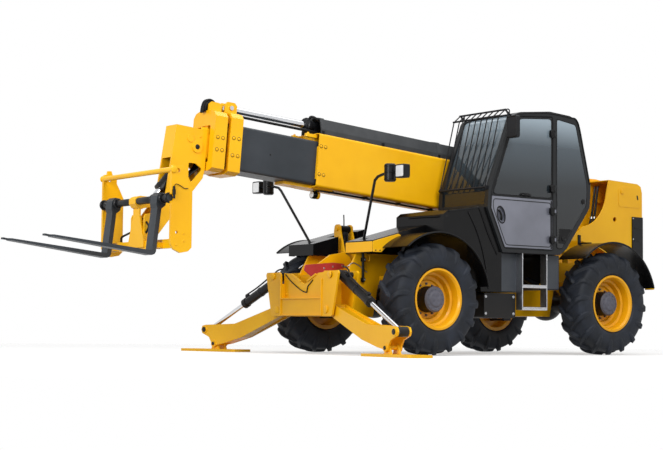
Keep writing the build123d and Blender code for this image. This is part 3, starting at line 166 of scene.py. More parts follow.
def moulded(name, base, high, roughness, grain, depth, coat=0.0, specular=0.5):
    """Moulded rubber or plastic: a fine leathery grain, and a tone that drifts a little paler in broad
    clouds.
    """
    material, tree, shader, place = blank(name)
    cloud = add(tree, "TexNoise", Vector=place, Scale=per_mm(220), Detail=5.0, Roughness=0.6)
    tone = ramp(tree, cloud, [(0.35, base), (0.7, high)])
    pores = add(tree, "TexVoronoi", Vector=place, Scale=per_mm(grain))
    lay(tree, shader, Base_Color=tone, Roughness=roughness, Normal=relief(tree, pores, 0.3, depth, 3),
        Specular_IOR_Level=specular, Coat_Weight=coat, Coat_Roughness=0.12)
    return material


def glazing(name, high_tint, low_tint, cover):
    """Toughened safety glass, tinted in the mass, with a painted reflection: pale sky at the top of a pane,
    darkening to near black at its foot.
    """
    material, tree, shader, place = blank(name)
    smear = add(tree, "TexNoise", Vector=place, Scale=per_mm(350), Detail=3.0)
    gloss = spread(tree, smear, 0.35, 0.7, 0.02, 0.07)
    # Painted reflection: the tone runs from a near-black foot at 1.2 m up to pale sky at 2.7 m.
    level = spread(tree, add(tree, "SeparateXYZ", "Z", Vector=place), 1.2, 2.7)
    tone = ramp(tree, level, [(0.0, low_tint), (0.5, "#20272C"), (0.8, "#4A565F"), (1.0, high_tint)])
    lay(tree, shader, Base_Color=tone, Roughness=gloss, Alpha=cover, Coat_Weight=0.3,
        Coat_Roughness=0.02)
    return material


# Two-pack enamel sprayed on steel plate: golden yellow with a soft shine and an orange-peel skin.
ENAMEL = coated("yellow_enamel", "#F0B306", "#E9AA03", "#F5BB0C", 0.36, coat=0.15, specular=0.25)
# The same enamel inside the dished wheels, painted a deeper shade for the shade inside the dish.
SHADED_WHEEL_ENAMEL = coated("wheel_enamel", "#EFAA06", "#E59E04", "#F4B20C", 0.38, coat=0.15, specular=0.25)
# Powder coat on the second boom stage and the forks: blue-grey charcoal, almost matt.
CHARCOAL = coated("charcoal_powder_coat", "#34383D", "#2D3135", "#3C4045", 0.45, coat=0.06, specular=0.2)
# Powder coat on cab steelwork: near black, a little glossier than the charcoal.
CAB_GREY = coated("cab_powder_coat", "#1C1E20", "#17181A", "#232527", 0.38, coat=0.12, specular=0.18)
# Slate paint on the tank and battery covers: a plain mid grey between the black pieces.
SLATE = coated("slate_paint", "#3F4349", "#373B41", "#494D54", 0.40, coat=0.12, specular=0.25)
# Metallic coat on the lower door: violet-silver, paler where it faces the sky.
SILVER = coated("door_silver_coat", "#6E707B", "#63656F", "#7C7E8A", 0.34, coat=0.4, metallic=0.35)
# Chassis black over castings and cylinders: thin, slightly rough, almost no shine.
CHASSIS = coated("chassis_black", "#0D0E11", "#090A0C", "#15161A", 0.42, coat=0.08, specular=0.18)
# Hard chrome on ground rods: a bright streak along each rod, and a dark one beside it.
CHROME = steel("hard_chrome", "#D9DADC", "#C2C4C8", 0.07, 6.0, (1.0, 8.0, 8.0))
# Zinc-plated tread plate and rails: pale, dull silver with a rolled grain.
ZINC = steel("zinc_plate", "#C4C5C7", "#A2A4A8", 0.28, 12.0, (1.0, 3.0, 1.0))
# Cast iron hub covers and housings, violet-grey primer over a sand-cast skin.
IRON = coated("cast_iron", "#54545E", "#494951", "#62626D", 0.55, peel=0.002, specular=0.3)
# Tyre compound: carbon-black rubber with a blue-grey bloom.
TYRE = moulded("tyre_rubber", "#101318", "#222731", 0.60, 5.0, 0.0008, specular=0.25)
# ABS mouldings: deep black, with a soft shine on folds and rims.
ABS = moulded("black_abs", "#080809", "#0F0F10", 0.27, 3.0, 0.0002, coat=0.12, specular=0.12)
# Weathered glass-fibre cover over the extension cylinder, mid grey and matt.
GRP = moulded("grey_glass_fibre", "#2E3032", "#3B3D3F", 0.55, 4.0, 0.0006, specular=0.3)
# Grained polypropylene inside the cab and on its guard: dull black.
POLY = moulded("cab_polypropylene", "#0F0F11", "#18181B", 0.6, 2.5, 0.0005, specular=0.2)
# Hose jacket and seals: black rubber that draws a thin dark line.
HOSE = moulded("hose_rubber", "#070708", "#0D0D0F", 0.48, 2.0, 0.0002, specular=0.18)
# Tinted glass with a painted reflection: pale sky painted at the top of a pane, nearly black at its foot.
GLASS = glazing("tinted_glass", "#9FAFBA", "#0A0C0D", 0.80)
# Lamp lenses, clear and red polycarbonate: the clear one is painted near white, a painted reflection of the
# bright reflector behind it; the other is a dark red.
LENS_PAINTED_REFLECTION = moulded("clear_lens", "#D8DADC", "#F4F5F6", 0.12, 9.0, 0.0015, coat=1.0)
LENS_RED = moulded("red_lens", "#64100D", "#861712", 0.25, 9.0, 0.0015, coat=0.2, specular=0.2)
# Baked enamel on the blank sign at the nose: a dull signal red.
SIGN_RED = coated("sign_enamel", "#B4383A", "#A83234", "#C04246", 0.38, coat=0.2)
# Moquette on the seat: charcoal, with no shine at all.
MOQUETTE = moulded("seat_moquette", "#1C1D20", "#292B2F", 0.9, 2.0, 0.001)

WHEELS = ("front_left", "front_right", "rear_left", "rear_right")
DRESS = {
    CHASSIS: ["axles", "side_boxes", "levelling_cylinder", "lift_barrel", "tilt_barrel",
              "extension_barrel", "mirrors", "stabiliser_barrel_left", "stabiliser_barrel_right",
              *[f"knuckle_{wheel}" for wheel in WHEELS]],
    CHROME: ["lift_rod", "tilt_rod", "extension_rod", "stabiliser_rod_left", "stabiliser_rod_right"],
    CHARCOAL: ["boom_stage2", "forks"],
    CAB_GREY: ["cab_frame", "door_upper"],
    SILVER: ["door_lower"],
    GRP: ["boom_cover"],
    ABS: ["front_cowl", "fenders", "nose_fairings"],
    POLY: ["cab_interior", "cab_guard"],
    IRON: ["counterweight", "engine_block"],
    GLASS: ["cab_glass", "door_glass"],
    ZINC: ["side_steps"],
    MOQUETTE: ["seat"],
    # The rims take the enamel's darker copy: painted shade for the inside of the dish.
    SHADED_WHEEL_ENAMEL: [f"rim_{wheel}" for wheel in WHEELS],
    TYRE: [f"tyre_{wheel}" for wheel in WHEELS],
}
# The record's material slot that each finish stands for.
finish_by_node = {node: material for material, nodes in DRESS.items() for node in nodes}
for name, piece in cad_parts.items():
    material = finish_by_node.get(name, ENAMEL)
    if not piece.material_slots:
        piece.data.materials.append(material)
    for holder in piece.material_slots:
        holder.material = material


# ---- places ----
def place(points):
    """Millimetres from the front axle's line on the ground to the machine's own metres."""
    return np.asarray(points, float) * MM + (FRONT, 0.0, 0.0)


def in_boom(points):
    """(along, y, above the stages' axis) to machine millimetres: turned up by the boom's stored angle."""
    along, y, above = np.moveaxis(np.asarray(points, float), -1, 0)
    above = above - AXIS_DROP
    c, s = math.cos(BOOM_TILT), math.sin(BOOM_TILT)
    return np.stack([PIVOT_X + along * c - above * s, y, PIVOT_Z + along * s + above * c], -1)


def splayed(points):
    """(forward, y, z) in a stabiliser's own plane to machine millimetres: turned by SPLAY about its root."""
    x, y, z = np.moveaxis(np.asarray(points, float), -1, 0)
    c, s = math.cos(SPLAY), math.sin(SPLAY)
    return np.stack([ARM_X + x * c + (y - ARM_Y) * s, ARM_Y - x * s + (y - ARM_Y) * c, z], -1)


def mirrored(shape):
    """The same shape on the machine's right: y turned to -y."""
    points, faces = shape
    return points * (1.0, -1.0, 1.0), faces


def moved(shape, mapping):
    """A shape whose points go through one of the mappings above."""
    return mapping(shape[0]), shape[1]


# ---- surfaces ----
def joined(*shapes):
    """Several shapes as one: points stacked, face numbers moved on by what comes before."""
    starts = np.cumsum([0] + [len(points) for points, _ in shapes[:-1]])
    faces = [block + start for (_, blocks), start in zip(shapes, starts) for block in blocks]
    return np.concatenate([points for points, _ in shapes]), faces


def row(shapes):
    """Shapes that a loop makes, as one."""
    return joined(*shapes)


def net(points, round_rows=False, round_cols=False):
    """Quads over an array of points (rows, columns, 3); a round direction closes on its first line."""
    rows, cols = points.shape[:2]
    i, j = np.mgrid[:rows - (not round_rows), :cols - (not round_cols)]
    i2, j2 = (i + 1) % rows, (j + 1) % cols
    quads = np.stack([i * cols + j, i * cols + j2, i2 * cols + j2, i2 * cols + j], -1)
    return points.reshape(-1, 3), [quads.reshape(-1, 4)]


def tube_net(rings):
    """A net that is round in its second direction, with a flat face on its first and last ring."""
    points, faces = net(rings, round_cols=True)
    first = np.arange(rings.shape[1])[None, :]
    return points, faces + [first, first + len(points) - rings.shape[1]]


def full_turn(steps):
    """Equal angles round a circle, from 0."""
    return np.arange(steps) * 2 * math.pi / steps


def polar(r, a, *more):
    """Points (r cos a, r sin a), with any further coordinates after them."""
    return np.stack(np.broadcast_arrays(r * np.cos(a), r * np.sin(a), *more), -1)


def square_to(direction):
    """Two unit vectors square to a direction and to each other, and the direction itself made unit."""
    d = np.asarray(direction, float)
    d = d / np.linalg.norm(d)
    side = np.cross(np.eye(3)[np.argmin(np.abs(d))], d)
    side /= np.linalg.norm(side)
    return side, np.cross(d, side), d


def turned(profile, start, direction, steps=32, hollow=False):
    """(radius, height) pairs turned about an axis: start + height d + radius (cos a side + sin a up).

    A hollow one is a hoop: its last pair joins its first, and nothing crosses its middle.
    """
    side, up, d = square_to(direction)
    radius, height = np.array(profile, float).T[:, :, None, None]
    a = full_turn(steps) + math.pi / steps
    spoke = np.cos(a)[:, None] * side + np.sin(a)[:, None] * up
    rings = np.asarray(start, float) + height * d + radius * spoke
    return net(rings, round_rows=True, round_cols=True) if hollow else tube_net(rings)


def curve_through(points, per_run):
    """Catmull-Rom curve: p1 + t (p2 - p0) / 2 + t^2 (p0 - 5 p1 / 2 + 2 p2 - p3 / 2) + t^3 (...) / 2."""
    p = np.asarray(points, float)
    p = np.concatenate([2 * p[:1] - p[1:2], p, 2 * p[-1:] - p[-2:-1]])
    p0, p1, p2, p3 = p[:-3, None], p[1:-2, None], p[2:-1, None], p[3:, None]
    t = (np.arange(per_run) / per_run)[:, None]
    run = p1 + t * (p2 - p0) / 2 + t ** 2 * (p0 - 2.5 * p1 + 2 * p2 - p3 / 2)
    run = run + t ** 3 * (1.5 * (p1 - p2) + (p3 - p0) / 2)
    return np.concatenate([run.reshape(-1, p.shape[1]), p[-2:-1]])


def swept(path, radius, sides=10, per_run=6):
    """A round pipe: a circle square to the curve's own direction at each of its points."""
    line = curve_through(path, per_run)
    ahead = np.gradient(line, axis=0)
    ahead /= np.linalg.norm(ahead, axis=1, keepdims=True)
    reference = np.eye(3)[np.argmin(np.abs(line[-1] - line[0]))]
    side = np.cross(reference, ahead)
    side /= np.linalg.norm(side, axis=1, keepdims=True)
    up = np.cross(ahead, side)
    a = full_turn(sides)
    ring = np.cos(a)[None, :, None] * side[:, None] + np.sin(a)[None, :, None] * up[:, None]
    return tube_net(line[:, None] + radius * ring)


def inset(outline, amount):
    """A closed outline made smaller: each corner moves along its bisector by amount / cos(half its turn)."""
    p = np.asarray(outline, float)
    run = np.roll(p, -1, 0) - p
    run /= np.linalg.norm(run, axis=1, keepdims=True)
    area = np.sum(p[:, 0] * np.roll(p[:, 1], -1) - np.roll(p[:, 0], -1) * p[:, 1])
    inward = np.stack([-run[:, 1], run[:, 0]], -1) * np.sign(area)
    before = np.roll(inward, 1, 0)
    return p + amount * (inward + before) / (1 + np.sum(inward * before, 1, keepdims=True))


def rounded(outline, radius, samples=5):
    """A closed outline whose corners are quadratic curves: (1-t)^2 a + 2 t (1-t) corner + t^2 b."""
    p = np.asarray(outline, float)
    back, on = np.roll(p, 1, 0) - p, np.roll(p, -1, 0) - p
    reach_back = np.minimum(radius, 0.45 * np.linalg.norm(back, axis=1, keepdims=True))
    reach_on = np.minimum(radius, 0.45 * np.linalg.norm(on, axis=1, keepdims=True))
    a = p + back / np.linalg.norm(back, axis=1, keepdims=True) * reach_back
    b = p + on / np.linalg.norm(on, axis=1, keepdims=True) * reach_on
    t = np.linspace(0, 1, samples)[None, :, None]
    return ((1 - t) ** 2 * a[:, None] + 2 * t * (1 - t) * p[:, None] + t ** 2 * b[:, None]).reshape(-1, 2)


def standing(outline, plane, height):
    """A flat outline stood in a plane at a height: xz seen from the side, yz from ahead, xy from above."""
    p = np.asarray(outline, float)
    axis = {"xz": 1, "yz": 0, "xy": 2}[plane]
    return np.insert(p, axis, height, axis=1)


def plate(outline, plane, lo, hi, edge):
    """A plate between two heights of a plane, its rims eased by edge on both faces."""
    small = inset(outline, edge)
    rings = [(small, lo), (outline, lo + edge), (outline, hi - edge), (small, hi)]
    return tube_net(np.stack([standing(ring, plane, height) for ring, height in rings]))


def rect(a0, b0, a1, b1, radius=0.0):
    """A rectangle between two corners, its own corners rounded when a radius is given."""
    corners = [(a0, b0), (a1, b0), (a1, b1), (a0, b1)]
    return rounded(corners, radius) if radius else corners


def beading(outline, plane, level, width, proud):
    """A rubber seal along a closed outline: a half-round section, width across and proud of the level."""
    a = np.linspace(0, math.pi, 7)
    rings = [standing(inset(outline, width * (0.5 - math.cos(t) / 2)), plane, level + proud * math.sin(t))
             for t in a.tolist()]
    rings.append(standing(inset(outline, width / 2), plane, level - proud * 0.5))
    return net(np.stack(rings, 1), round_rows=True, round_cols=True)


def scatter(shape, places):
    """Copies of a shape drawn about the origin, one at each place."""
    points, faces = shape
    places = np.asarray(places, float)
    count = len(points)
    shifts = np.arange(len(places)) * count
    copies = [(block[None] + shifts[:, None, None]).reshape(-1, block.shape[1]) for block in faces]
    return (places[:, None] + points[None]).reshape(-1, 3), copies


def bolts(places, direction, r=11.0, rise=9.0):
    """Hexagon heads on washers."""
    washer = turned([(r * 1.45, -2), (r * 1.45, 1.6), (r * 1.3, 2.4)], (0, 0, 0), direction, 16)
    head = turned([(r, 2), (r, rise - 2), (r * 0.86, rise)], (0, 0, 0), direction, 6)
    return scatter(joined(washer, head), places)


def painted_shadow_rings(places, direction, r=11.0):
    """Painted shadow: dark rings round a bolt's washer, standing for the shade in its countersink."""
    ring = turned([(r * 1.9, -2), (r * 1.9, 0.6), (r * 1.7, 0.9)], (0, 0, 0), direction, 20)
    return scatter(ring, places)


def box_of(x0, x1, y0, y1, z0, z1, edge=4.0):
    """A block with eased rims, as a plate seen from above."""
    return plate(rect(x0, y0, x1, y1, 2 * edge), "xy", z0, z1, edge)


def piece(name, shape, material, body="main", sharp=35.0):
    """Make an object of a shape, with its place in its mesh and its faces outwards, riding on a body."""
    points, faces = shape
    mesh = bpy.data.meshes.new(name)
    mesh.from_pydata(place(points).tolist(), [], [face for block in faces for face in block.tolist()])
    work = bmesh.new()
    work.from_mesh(mesh)
    bmesh.ops.remove_doubles(work, verts=work.verts, dist=0.00001)
    bmesh.ops.recalc_face_normals(work, faces=work.faces)
    work.to_mesh(mesh)
    work.free()
    mesh.shade_smooth()
    mesh.set_sharp_from_angle(angle=math.radians(sharp))
    mesh.materials.append(material)
    thing = bpy.data.objects.new(name, mesh)
    bpy.context.scene.collection.objects.link(thing)
    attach(thing, body)
    return thing


def both(name, shape, material, body="main"):
    """A piece and its mirror image, joined on one body of the machine's middle."""
    return piece(name, joined(shape, mirrored(shape)), material, body)


# ---- tyres and wheels ----
def smooth(t):
    """0 to 1 with level ends: 3 t^2 - 2 t^3."""
    t = np.clip(t, 0, 1)
    return t * t * (3 - 2 * t)


def tyre_surface():
    """A moulded tyre about Z, outboard up: a section carried round, raised along its normal on raked lugs.

    A lug's middle leads by tan(RAKE) per mm from the shoulder to the tread's middle, then runs down the
    sidewall; the other side's lugs are half a pitch on. Three fine rings stand out beside the bead.
    """
    crown, shoulder, steps = 574.0, 165.0, 480
    half = [(crown, 0), (573, 60), (570, 105), (561, 148), (540, 171), (500, 186), (450, 192), (400, 190),
            (362, 180), (342, 162), (324, 156), (309, 150)]
    line = curve_through(half, 7)[1:]
    r = np.concatenate([line[::-1, 0], [crown], line[:, 0]])
    z = np.concatenate([-line[::-1, 1], [0.0], line[:, 1]])
    step = np.hypot(np.gradient(r), np.gradient(z))
    out_r, out_z = -np.gradient(z) / -step, -np.gradient(r) / step
    along = np.cumsum(np.hypot(np.diff(r, prepend=r[0]), np.diff(z, prepend=z[0])))
    along = along - along[len(line)]
    a = full_turn(steps)[:, None]
    pitch = 2 * math.pi / LUGS
    rise = np.zeros((steps, len(r)))
    for way, lag in ((1, 0.0), (-1, pitch / 2)):
        reach = (way * along)[None, :]
        middle = -math.tan(RAKE) * (np.minimum(reach, shoulder) - 89) / crown
        middle = middle - 0.00025 * np.maximum(reach - shoulder, 0)
        off = (a - lag - middle + pitch / 2) % pitch - pitch / 2
        rake = np.interp(reach, [130, 190], [math.cos(RAKE), 1.0])
        distance = np.abs(off) * r[None, :] * rake
        width = np.interp(reach, [-40, 60, 165, 230, 300], [17, 21, 29, 25, 14])
        height = np.interp(reach, [-36, -14, 128, 160, 178, 226, 278, 306], [0, 34, 34, 27, 23, 13, 7, 0])
        rise = np.maximum(rise, height * smooth((width - distance) / 9 + 0.5))
    rise = rise + 1.6 * np.maximum(0, np.cos((r - 384) / 2.6))[None, :] * (np.abs(r - 372)[None, :] < 16)
    radius = r[None, :] + rise * out_r[None, :]
    height = z[None, :] + rise * out_z[None, :]
    return net(polar(radius, a, height), round_rows=True, round_cols=True)


def on_wheel(shape, x):
    """Stand a shape drawn about Z up at the left wheel of the axle at x, outboard to +Y."""
    points, faces = shape
    return np.stack([x + points[:, 0], TRACK_Y + points[:, 2], TYRE_R - points[:, 1]], -1), faces


def hub_face():
    """The planetary hub's cover about Z: a low dome with a bolt circle's boss ring and four cast lobes."""
    r = np.array([0.5, 14, 26, 36, 46, 56, 66, 74, 78, 84, 92, 100, 108, 116, 124, 130, 136, 141])[:, None]
    a = full_turn(96)[None, :]
    dome = 130.0 - 13.0 * smooth((r - 74) / 18) - 19.0 * smooth((r - 124) / 17)
    z = dome + 3.5 * np.cos(4 * a) * np.exp(-((r - 44) / 16) ** 2)
    return tube_net(polar(r, a, z))


tyre_shape, face_shape = tyre_surface(), hub_face()
drum_shape = turned([(141, -44), (143.5, -38), (143.5, -6), (141.5, -2), (142.5, 88), (142, 99)],
                    (0, 0, 0), UP, 64)
cover_bolts = bolts(polar(108, full_turn(12), 116), UP, 7, 7)
wheel_nuts = bolts(polar(172, full_turn(12), -43), UP, 11, 20)
for wheel in WHEELS:
    x = 0.0 if "front" in wheel else REAR_X
    turn_over = mirrored if "right" in wheel else joined
    tyre = piece(f"moulded_tyre_{wheel}", turn_over(on_wheel(tyre_shape, x)), TYRE, f"wheel_{wheel}", 60)
    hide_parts(f"tyre_{wheel}")
    for name, shape, finish in (("hub_drum", drum_shape, CHASSIS), ("hub_cover", face_shape, IRON),
                                ("wheel_bolts", joined(cover_bolts, wheel_nuts), IRON)):
        piece(f"{name}_{wheel}", turn_over(on_wheel(shape, x)), finish, f"wheel_{wheel}")

# ---- boom ----
MOUTH_BOLTS = {
    "boom_outer": [(u, 211, w) for u in (4275, 4335) for w in (170, -140)],
    "stage2": [(u, 220.5, w) for u in (5427, 5492) for w in (72, -112)],
    "stage3": [(u, 216.5, w) for u in (5625, 5690) for w in (52, -78)],
}
for body, spots in MOUTH_BOLTS.items():
    heads = moved(bolts(spots, LEFT, 11, 9), in_boom)
    both(f"{body}_mouth_bolts", heads, ENAMEL, body)
    # Dark rings round the mouth bolts: painted shadow of their countersinks.
    both(f"{body}_bolt_seats", moved(painted_shadow_rings(spots, LEFT), in_boom), HOSE, body)

gland_ring = turned([(80, 0), (84, 6), (84, 40), (70, 52), (48, 56)], (4380, 0, RAM_AXIS), AHEAD, 40)
gland_elbow = swept([(4400, 40, 480), (4400, 62, 502), (4370, 84, 500), (4300, 96, 470)], 15)
piece("gland_ring", moved(joined(gland_ring, gland_elbow), in_boom), CHASSIS, "boom_outer")
guide_lugs = row(box_of(4350, 4500, y, y + 46, 262, 300) for y in (-150, 104))
guide_bolts = bolts([(4466, y, 300) for y in (-127, 127)], UP, 13, 16)
piece("stage_guides", moved(joined(guide_lugs, guide_bolts), in_boom), ENAMEL, "boom_outer")
feed_pipe = swept([(4300, 88, 338), (4800, 88, 338), (5300, 88, 338), (5400, 88, 345)], 15, 10, 2)
piece("feed_pipe", moved(feed_pipe, in_boom), HOSE, "stage2")
# A small black dome on the second stage's side: painted shade standing for a dark hole.
hole_shade_dot = turned([(9, -2), (9, 1.5), (6, 3)], (4975, 170, -20), LEFT, 16)
both("stage_plug", moved(hole_shade_dot, in_boom), HOSE, "stage2")

sheave = turned([(30, -20), (72, -20), (78, -16), (64, -6), (64, 6), (78, 16), (72, 20), (30, 20)],
                (5690, 0, 392), LEFT, 48)
hose_reel = swept([(5600, 14, 320), (5610, 14, 394), (5644, 14, 452), (5698, 14, 470), (5750, 14, 444),
                   (5770, 14, 386), (5776, 14, 320)], 13)
sheave_hoses = joined(sheave, hose_reel, mirrored(hose_reel))
piece("hose_sheave", moved(sheave_hoses, in_boom), HOSE, "stage3")

BOOM_LAMP = (4259, 0, -342)
lamp_rim = turned([(43.5, -52), (44.5, -50), (44.5, 0), (41, 4), (36, 4)], BOOM_LAMP, AHEAD, 40)
lamp_pane = turned([(37, -2), (36, 5), (26, 9), (12, 11), (2, 12)], BOOM_LAMP, AHEAD, 40)
piece("boom_lamp_rim", moved(lamp_rim, in_boom), ABS, "boom_outer")
piece("boom_lamp_lens", moved(lamp_pane, in_boom), LENS_PAINTED_REFLECTION, "boom_outer")
boom_pipes = row(swept([(4225, y / 3, -300), (4120, y, -297), (3500, y, -296), (2900, y, -296),
                        (2420, y, -296), (2340, y, -272)], 8, 8) for y in (62, 84, 106))
clips = row(box_of(u, u + 26, 48, 120, -308, -281, 3) for u in (4050, 3560, 3070, 2580))
piece("boom_pipes", moved(joined(boom_pipes, clips), in_boom), CHASSIS, "boom_outer")
cover_clips = row(box_of(u, u + 34, 181, 197, 300, 352, 3) for u in (870, 1730, 2580, 3430, 4290))
both("cover_clips", moved(cover_clips, in_boom), HOSE, "boom_outer")

# ---- gooseneck and carriage ----
fan = row(swept([(2345, y * 0.9, 2036), (2358, y, 1985), (2400, y, 1930), (2462, y, 1886),
                 (2560, y * 0.9, 1790), (2680, y * 0.6, 1640)], 9, 8) for y in (-66, -40, -14, 14, 40, 66))
piece("gooseneck_hoses", fan, HOSE, "boom_head")

ring = [(36, -14), (50, -12), (54, -4), (54, 8), (46, 16), (36, 16)]
shaft_rings = row(turned(ring, (FORK_X, y, FORK_Z), LEFT, 32) for y in (-650, -540, -360, 360, 540, 650))
piece("fork_shaft_rings", shaft_rings, CHASSIS, "carriage")
shaft_sleeves = row(turned([(35.5, 0), (36.5, 3), (36.5, y1 - y0 - 3), (35.5, y1 - y0)],
                           (FORK_X, y0, FORK_Z), LEFT, 32)
                    for y0, y1 in ((-664, -550), (-345, -80), (80, 345), (550, 664)))
piece("fork_shaft_sleeves", shaft_sleeves, CHASSIS, "carriage")

# ---- cab ----
DOORWAY = [(-1050, 1212), (-838, 1650), (-850, 1840), (-1172, 2668), (-1300, 2720), (-1813, 2760),
           (-1813, 1212)]
DOOR_PANE = [(-829, 1787), (-1172, 2668), (-1300, 2720), (-1813, 2760), (-1813, 1787)]
LOWER_DOOR = [(-1050, 1212), (-838, 1650), (-845, 1787), (-1813, 1787), (-1813, 1212)]
QUARTER = [(-1880, 1235), (-1880, 2740), (-2190, 2700), (-2385, 1990), (-2372, 1760), (-1990, 1268),
           (-1960, 1235)]
# Panes: name, outline, inset, corner radius and body.
for name, outline, amount, radius, body in (("door_bonded_pane", DOOR_PANE, 26, 52, "door_upper"),
                                            ("quarter_bonded_pane", QUARTER, 4, 34, "main")):
    pane = plate(rounded(inset(outline, amount), radius), "xz", CAB_SIDE + 0.5, CAB_SIDE + 4, 1)
    piece(name, pane, GLASS, body)
# Beads: name, outline, inset, corner radius, level, width, proud, finish and body.
for name, outline, amount, radius, level, width, proud, finish, body in (
        ("door_pane_seal", DOOR_PANE, 16, 56, CAB_SIDE, 13, 6, HOSE, "door_upper"),
        ("doorway_seal", DOORWAY, -13, 40, CAB_SIDE - 1, 14, 6, HOSE, "main"),
        ("quarter_seal", QUARTER, -8, 36, CAB_SIDE, 13, 6, HOSE, "main"),
        ("door_panel_rim", LOWER_DOOR, 26, 40, CAB_SIDE - 1, 12, 4, CAB_GREY, "door_lower")):
    bead = beading(rounded(inset(outline, amount), radius), "xz", level, width, proud)
    piece(name, bead, finish, body)

vent = [(-1912, 1296), (-1912, 1462), (-2124, 1462), (-2012, 1296)]
vent_panel = plate(rounded(vent, 16), "xz", CAB_SIDE + 3, CAB_SIDE + 7, 1)
vent_rim = beading(rounded(inset(vent, -4), 16), "xz", CAB_SIDE + 5, 12, 5)
catch = turned([(30, 0), (32, 3), (32, 8), (26, 13), (10, 15)], (-2318, CAB_SIDE + 3, 1800), LEFT, 32)
vent_cap = turned([(30, 0), (30, 8), (24, 12), (20, 9), (8, 9)], (-1985, CAB_SIDE + 6, 1352), LEFT, 32)
piece("quarter_vent", joined(vent_panel, vent_rim, vent_cap, catch), ABS)

grip = swept([(-1300, 1098, 1822), (-1306, 1122, 1823), (-1340, 1130, 1824), (-1400, 1130, 1824),
              (-1432, 1120, 1823), (-1436, 1098, 1822)], 11, 12)
rose = plate(rect(-1452, 1802, -1284, 1846, 30), "xz", CAB_SIDE, CAB_SIDE + 6, 2)
piece("upper_door_handle", joined(grip, rose), ABS, "door_upper")
around, lean = full_turn(28), math.radians(17)
leaning = np.array([[math.cos(lean), -math.sin(lean)], [math.sin(lean), math.cos(lean)]])
oval = np.stack([58 * np.cos(around), 96 * np.sin(around)], -1) @ leaning
cup_rim = beading(inset(oval + (-992, 1580), -8), "xz", CAB_SIDE, 15, 6)
cup_bar = swept([(-972, 1078, 1634), (-980, 1092, 1616), (-992, 1096, 1580), (-1004, 1092, 1544),
                 (-1012, 1078, 1526)], 12, 12)
piece("lower_door_handle", joined(cup_rim, cup_bar), ABS, "door_lower")

HINGE = [(-1808, -44), (-1808, 44), (-1764, 44), (-1750, 30), (-1750, -30), (-1764, -44)]


def hinge_cover(z):
    """A moulded cap over a hinge's leaf, with its two screws."""
    cap = plate(rounded([(x, z + rise) for x, rise in HINGE], 6), "xz", CAB_SIDE + 5, 1138, 3)
    return joined(cap, bolts([(-1779, 1138, z - 22), (-1779, 1138, z + 22)], LEFT, 6, 5))


# Doors: name, its hinges' heights, and its rear edge's foot, rear head and front head.
for door, hinges, foot, rear, fore in (("lower", (1330, 1660), 1222, 1782, 1782),
                                       ("upper", (1920, 2560), 1800, 2742, 2740)):
    piece(f"{door}_hinge_caps", row(map(hinge_cover, hinges)), ABS, f"door_{door}")
    edge = rounded([(-1801, foot), (-1801, rear), (-1781, fore), (-1781, foot)], 6)
    piece(f"{door}_door_edge", plate(edge, "xz", CAB_SIDE - 2, CAB_SIDE + 4, 2), ABS, f"door_{door}")

eye_ring = swept([(-1130, 1058, 2700), (-1126, 1058, 2740), (-1108, 1058, 2768), (-1124, 1058, 2794),
                  (-1150, 1058, 2786), (-1154, 1058, 2758), (-1136, 1058, 2738)], 7, 8, 8)
roof_eyes = joined(eye_ring, mirrored((eye_ring[0] - (0, 1357, 0), eye_ring[1])))
piece("roof_eyes", roof_eyes, CAB_GREY)
gutter = [(-1180, 2700), (-1300, 2752), (-1560, 2782), (-1780, 2798), (-2080, 2780), (-2226, 2738),
          (-2330, 2400), (-2432, 2010)]
piece("roof_gutter", swept(standing(gutter, "xz", CAB_SIDE + 3), 8, 8), HOSE)
piece("cab_mirror_pane", plate(rect(1172, 2454, 1318, 2676, 24), "yz", -1059, -1055, 1), CHROME)
mirror_rim = beading(rect(1163, 2445, 1327, 2685, 24), "yz", -1005, 12, 5)
clamp = turned([(15, -14), (17, -11), (17, 11), (15, 14)], (-1100, 1160, 2600), (0.4, 0.9, 0), 24)
piece("cab_mirror_rim", joined(mirror_rim, clamp), ABS)
dials = plate(rect(600, 1640, 760, 1712, 20), "yz", -1086, -1064, 4)
levers = row(swept([(-1560, y, 1610), (-1540, y, 1700), (-1528, y + 8, 1790)], 9, 8) for y in (400, 440))
knob = [(6, 0), (16, 6), (20, 20), (17, 38), (8, 48)]
knobs = row(turned(knob, (-1528, y, 1780), (0.1, 0, 1), 20) for y in (408, 448))
piece("cab_controls", joined(dials, levers, knobs), POLY)

# ---- seat ----
def cushion_grid(centre, half, lean_back=0.0):
    """A crowned pad: the superellipsoid |x/a|^5 + |y/b|^5 + |z/c|^5 = 1, turned about Y by lean_back."""
    v = np.linspace(-math.pi / 2 + 0.02, math.pi / 2 - 0.02, 40)[:, None]
    a = full_turn(80)[None, :]

    def bend(t):
        """A sine or cosine brought to the power 2 / 5, with its sign kept."""
        return np.sign(t) * np.abs(t) ** 0.4

    x = half[0] * bend(np.cos(v)) * bend(np.cos(a))
    y = half[1] * bend(np.cos(v)) * bend(np.sin(a))
    z = half[2] * bend(np.sin(v)) + 0 * a
    c, s = math.cos(lean_back), math.sin(lean_back)
    rings = np.stack([centre[0] + x * c + z * s, centre[1] + y, centre[2] - x * s + z * c], -1)
    return tube_net(rings)


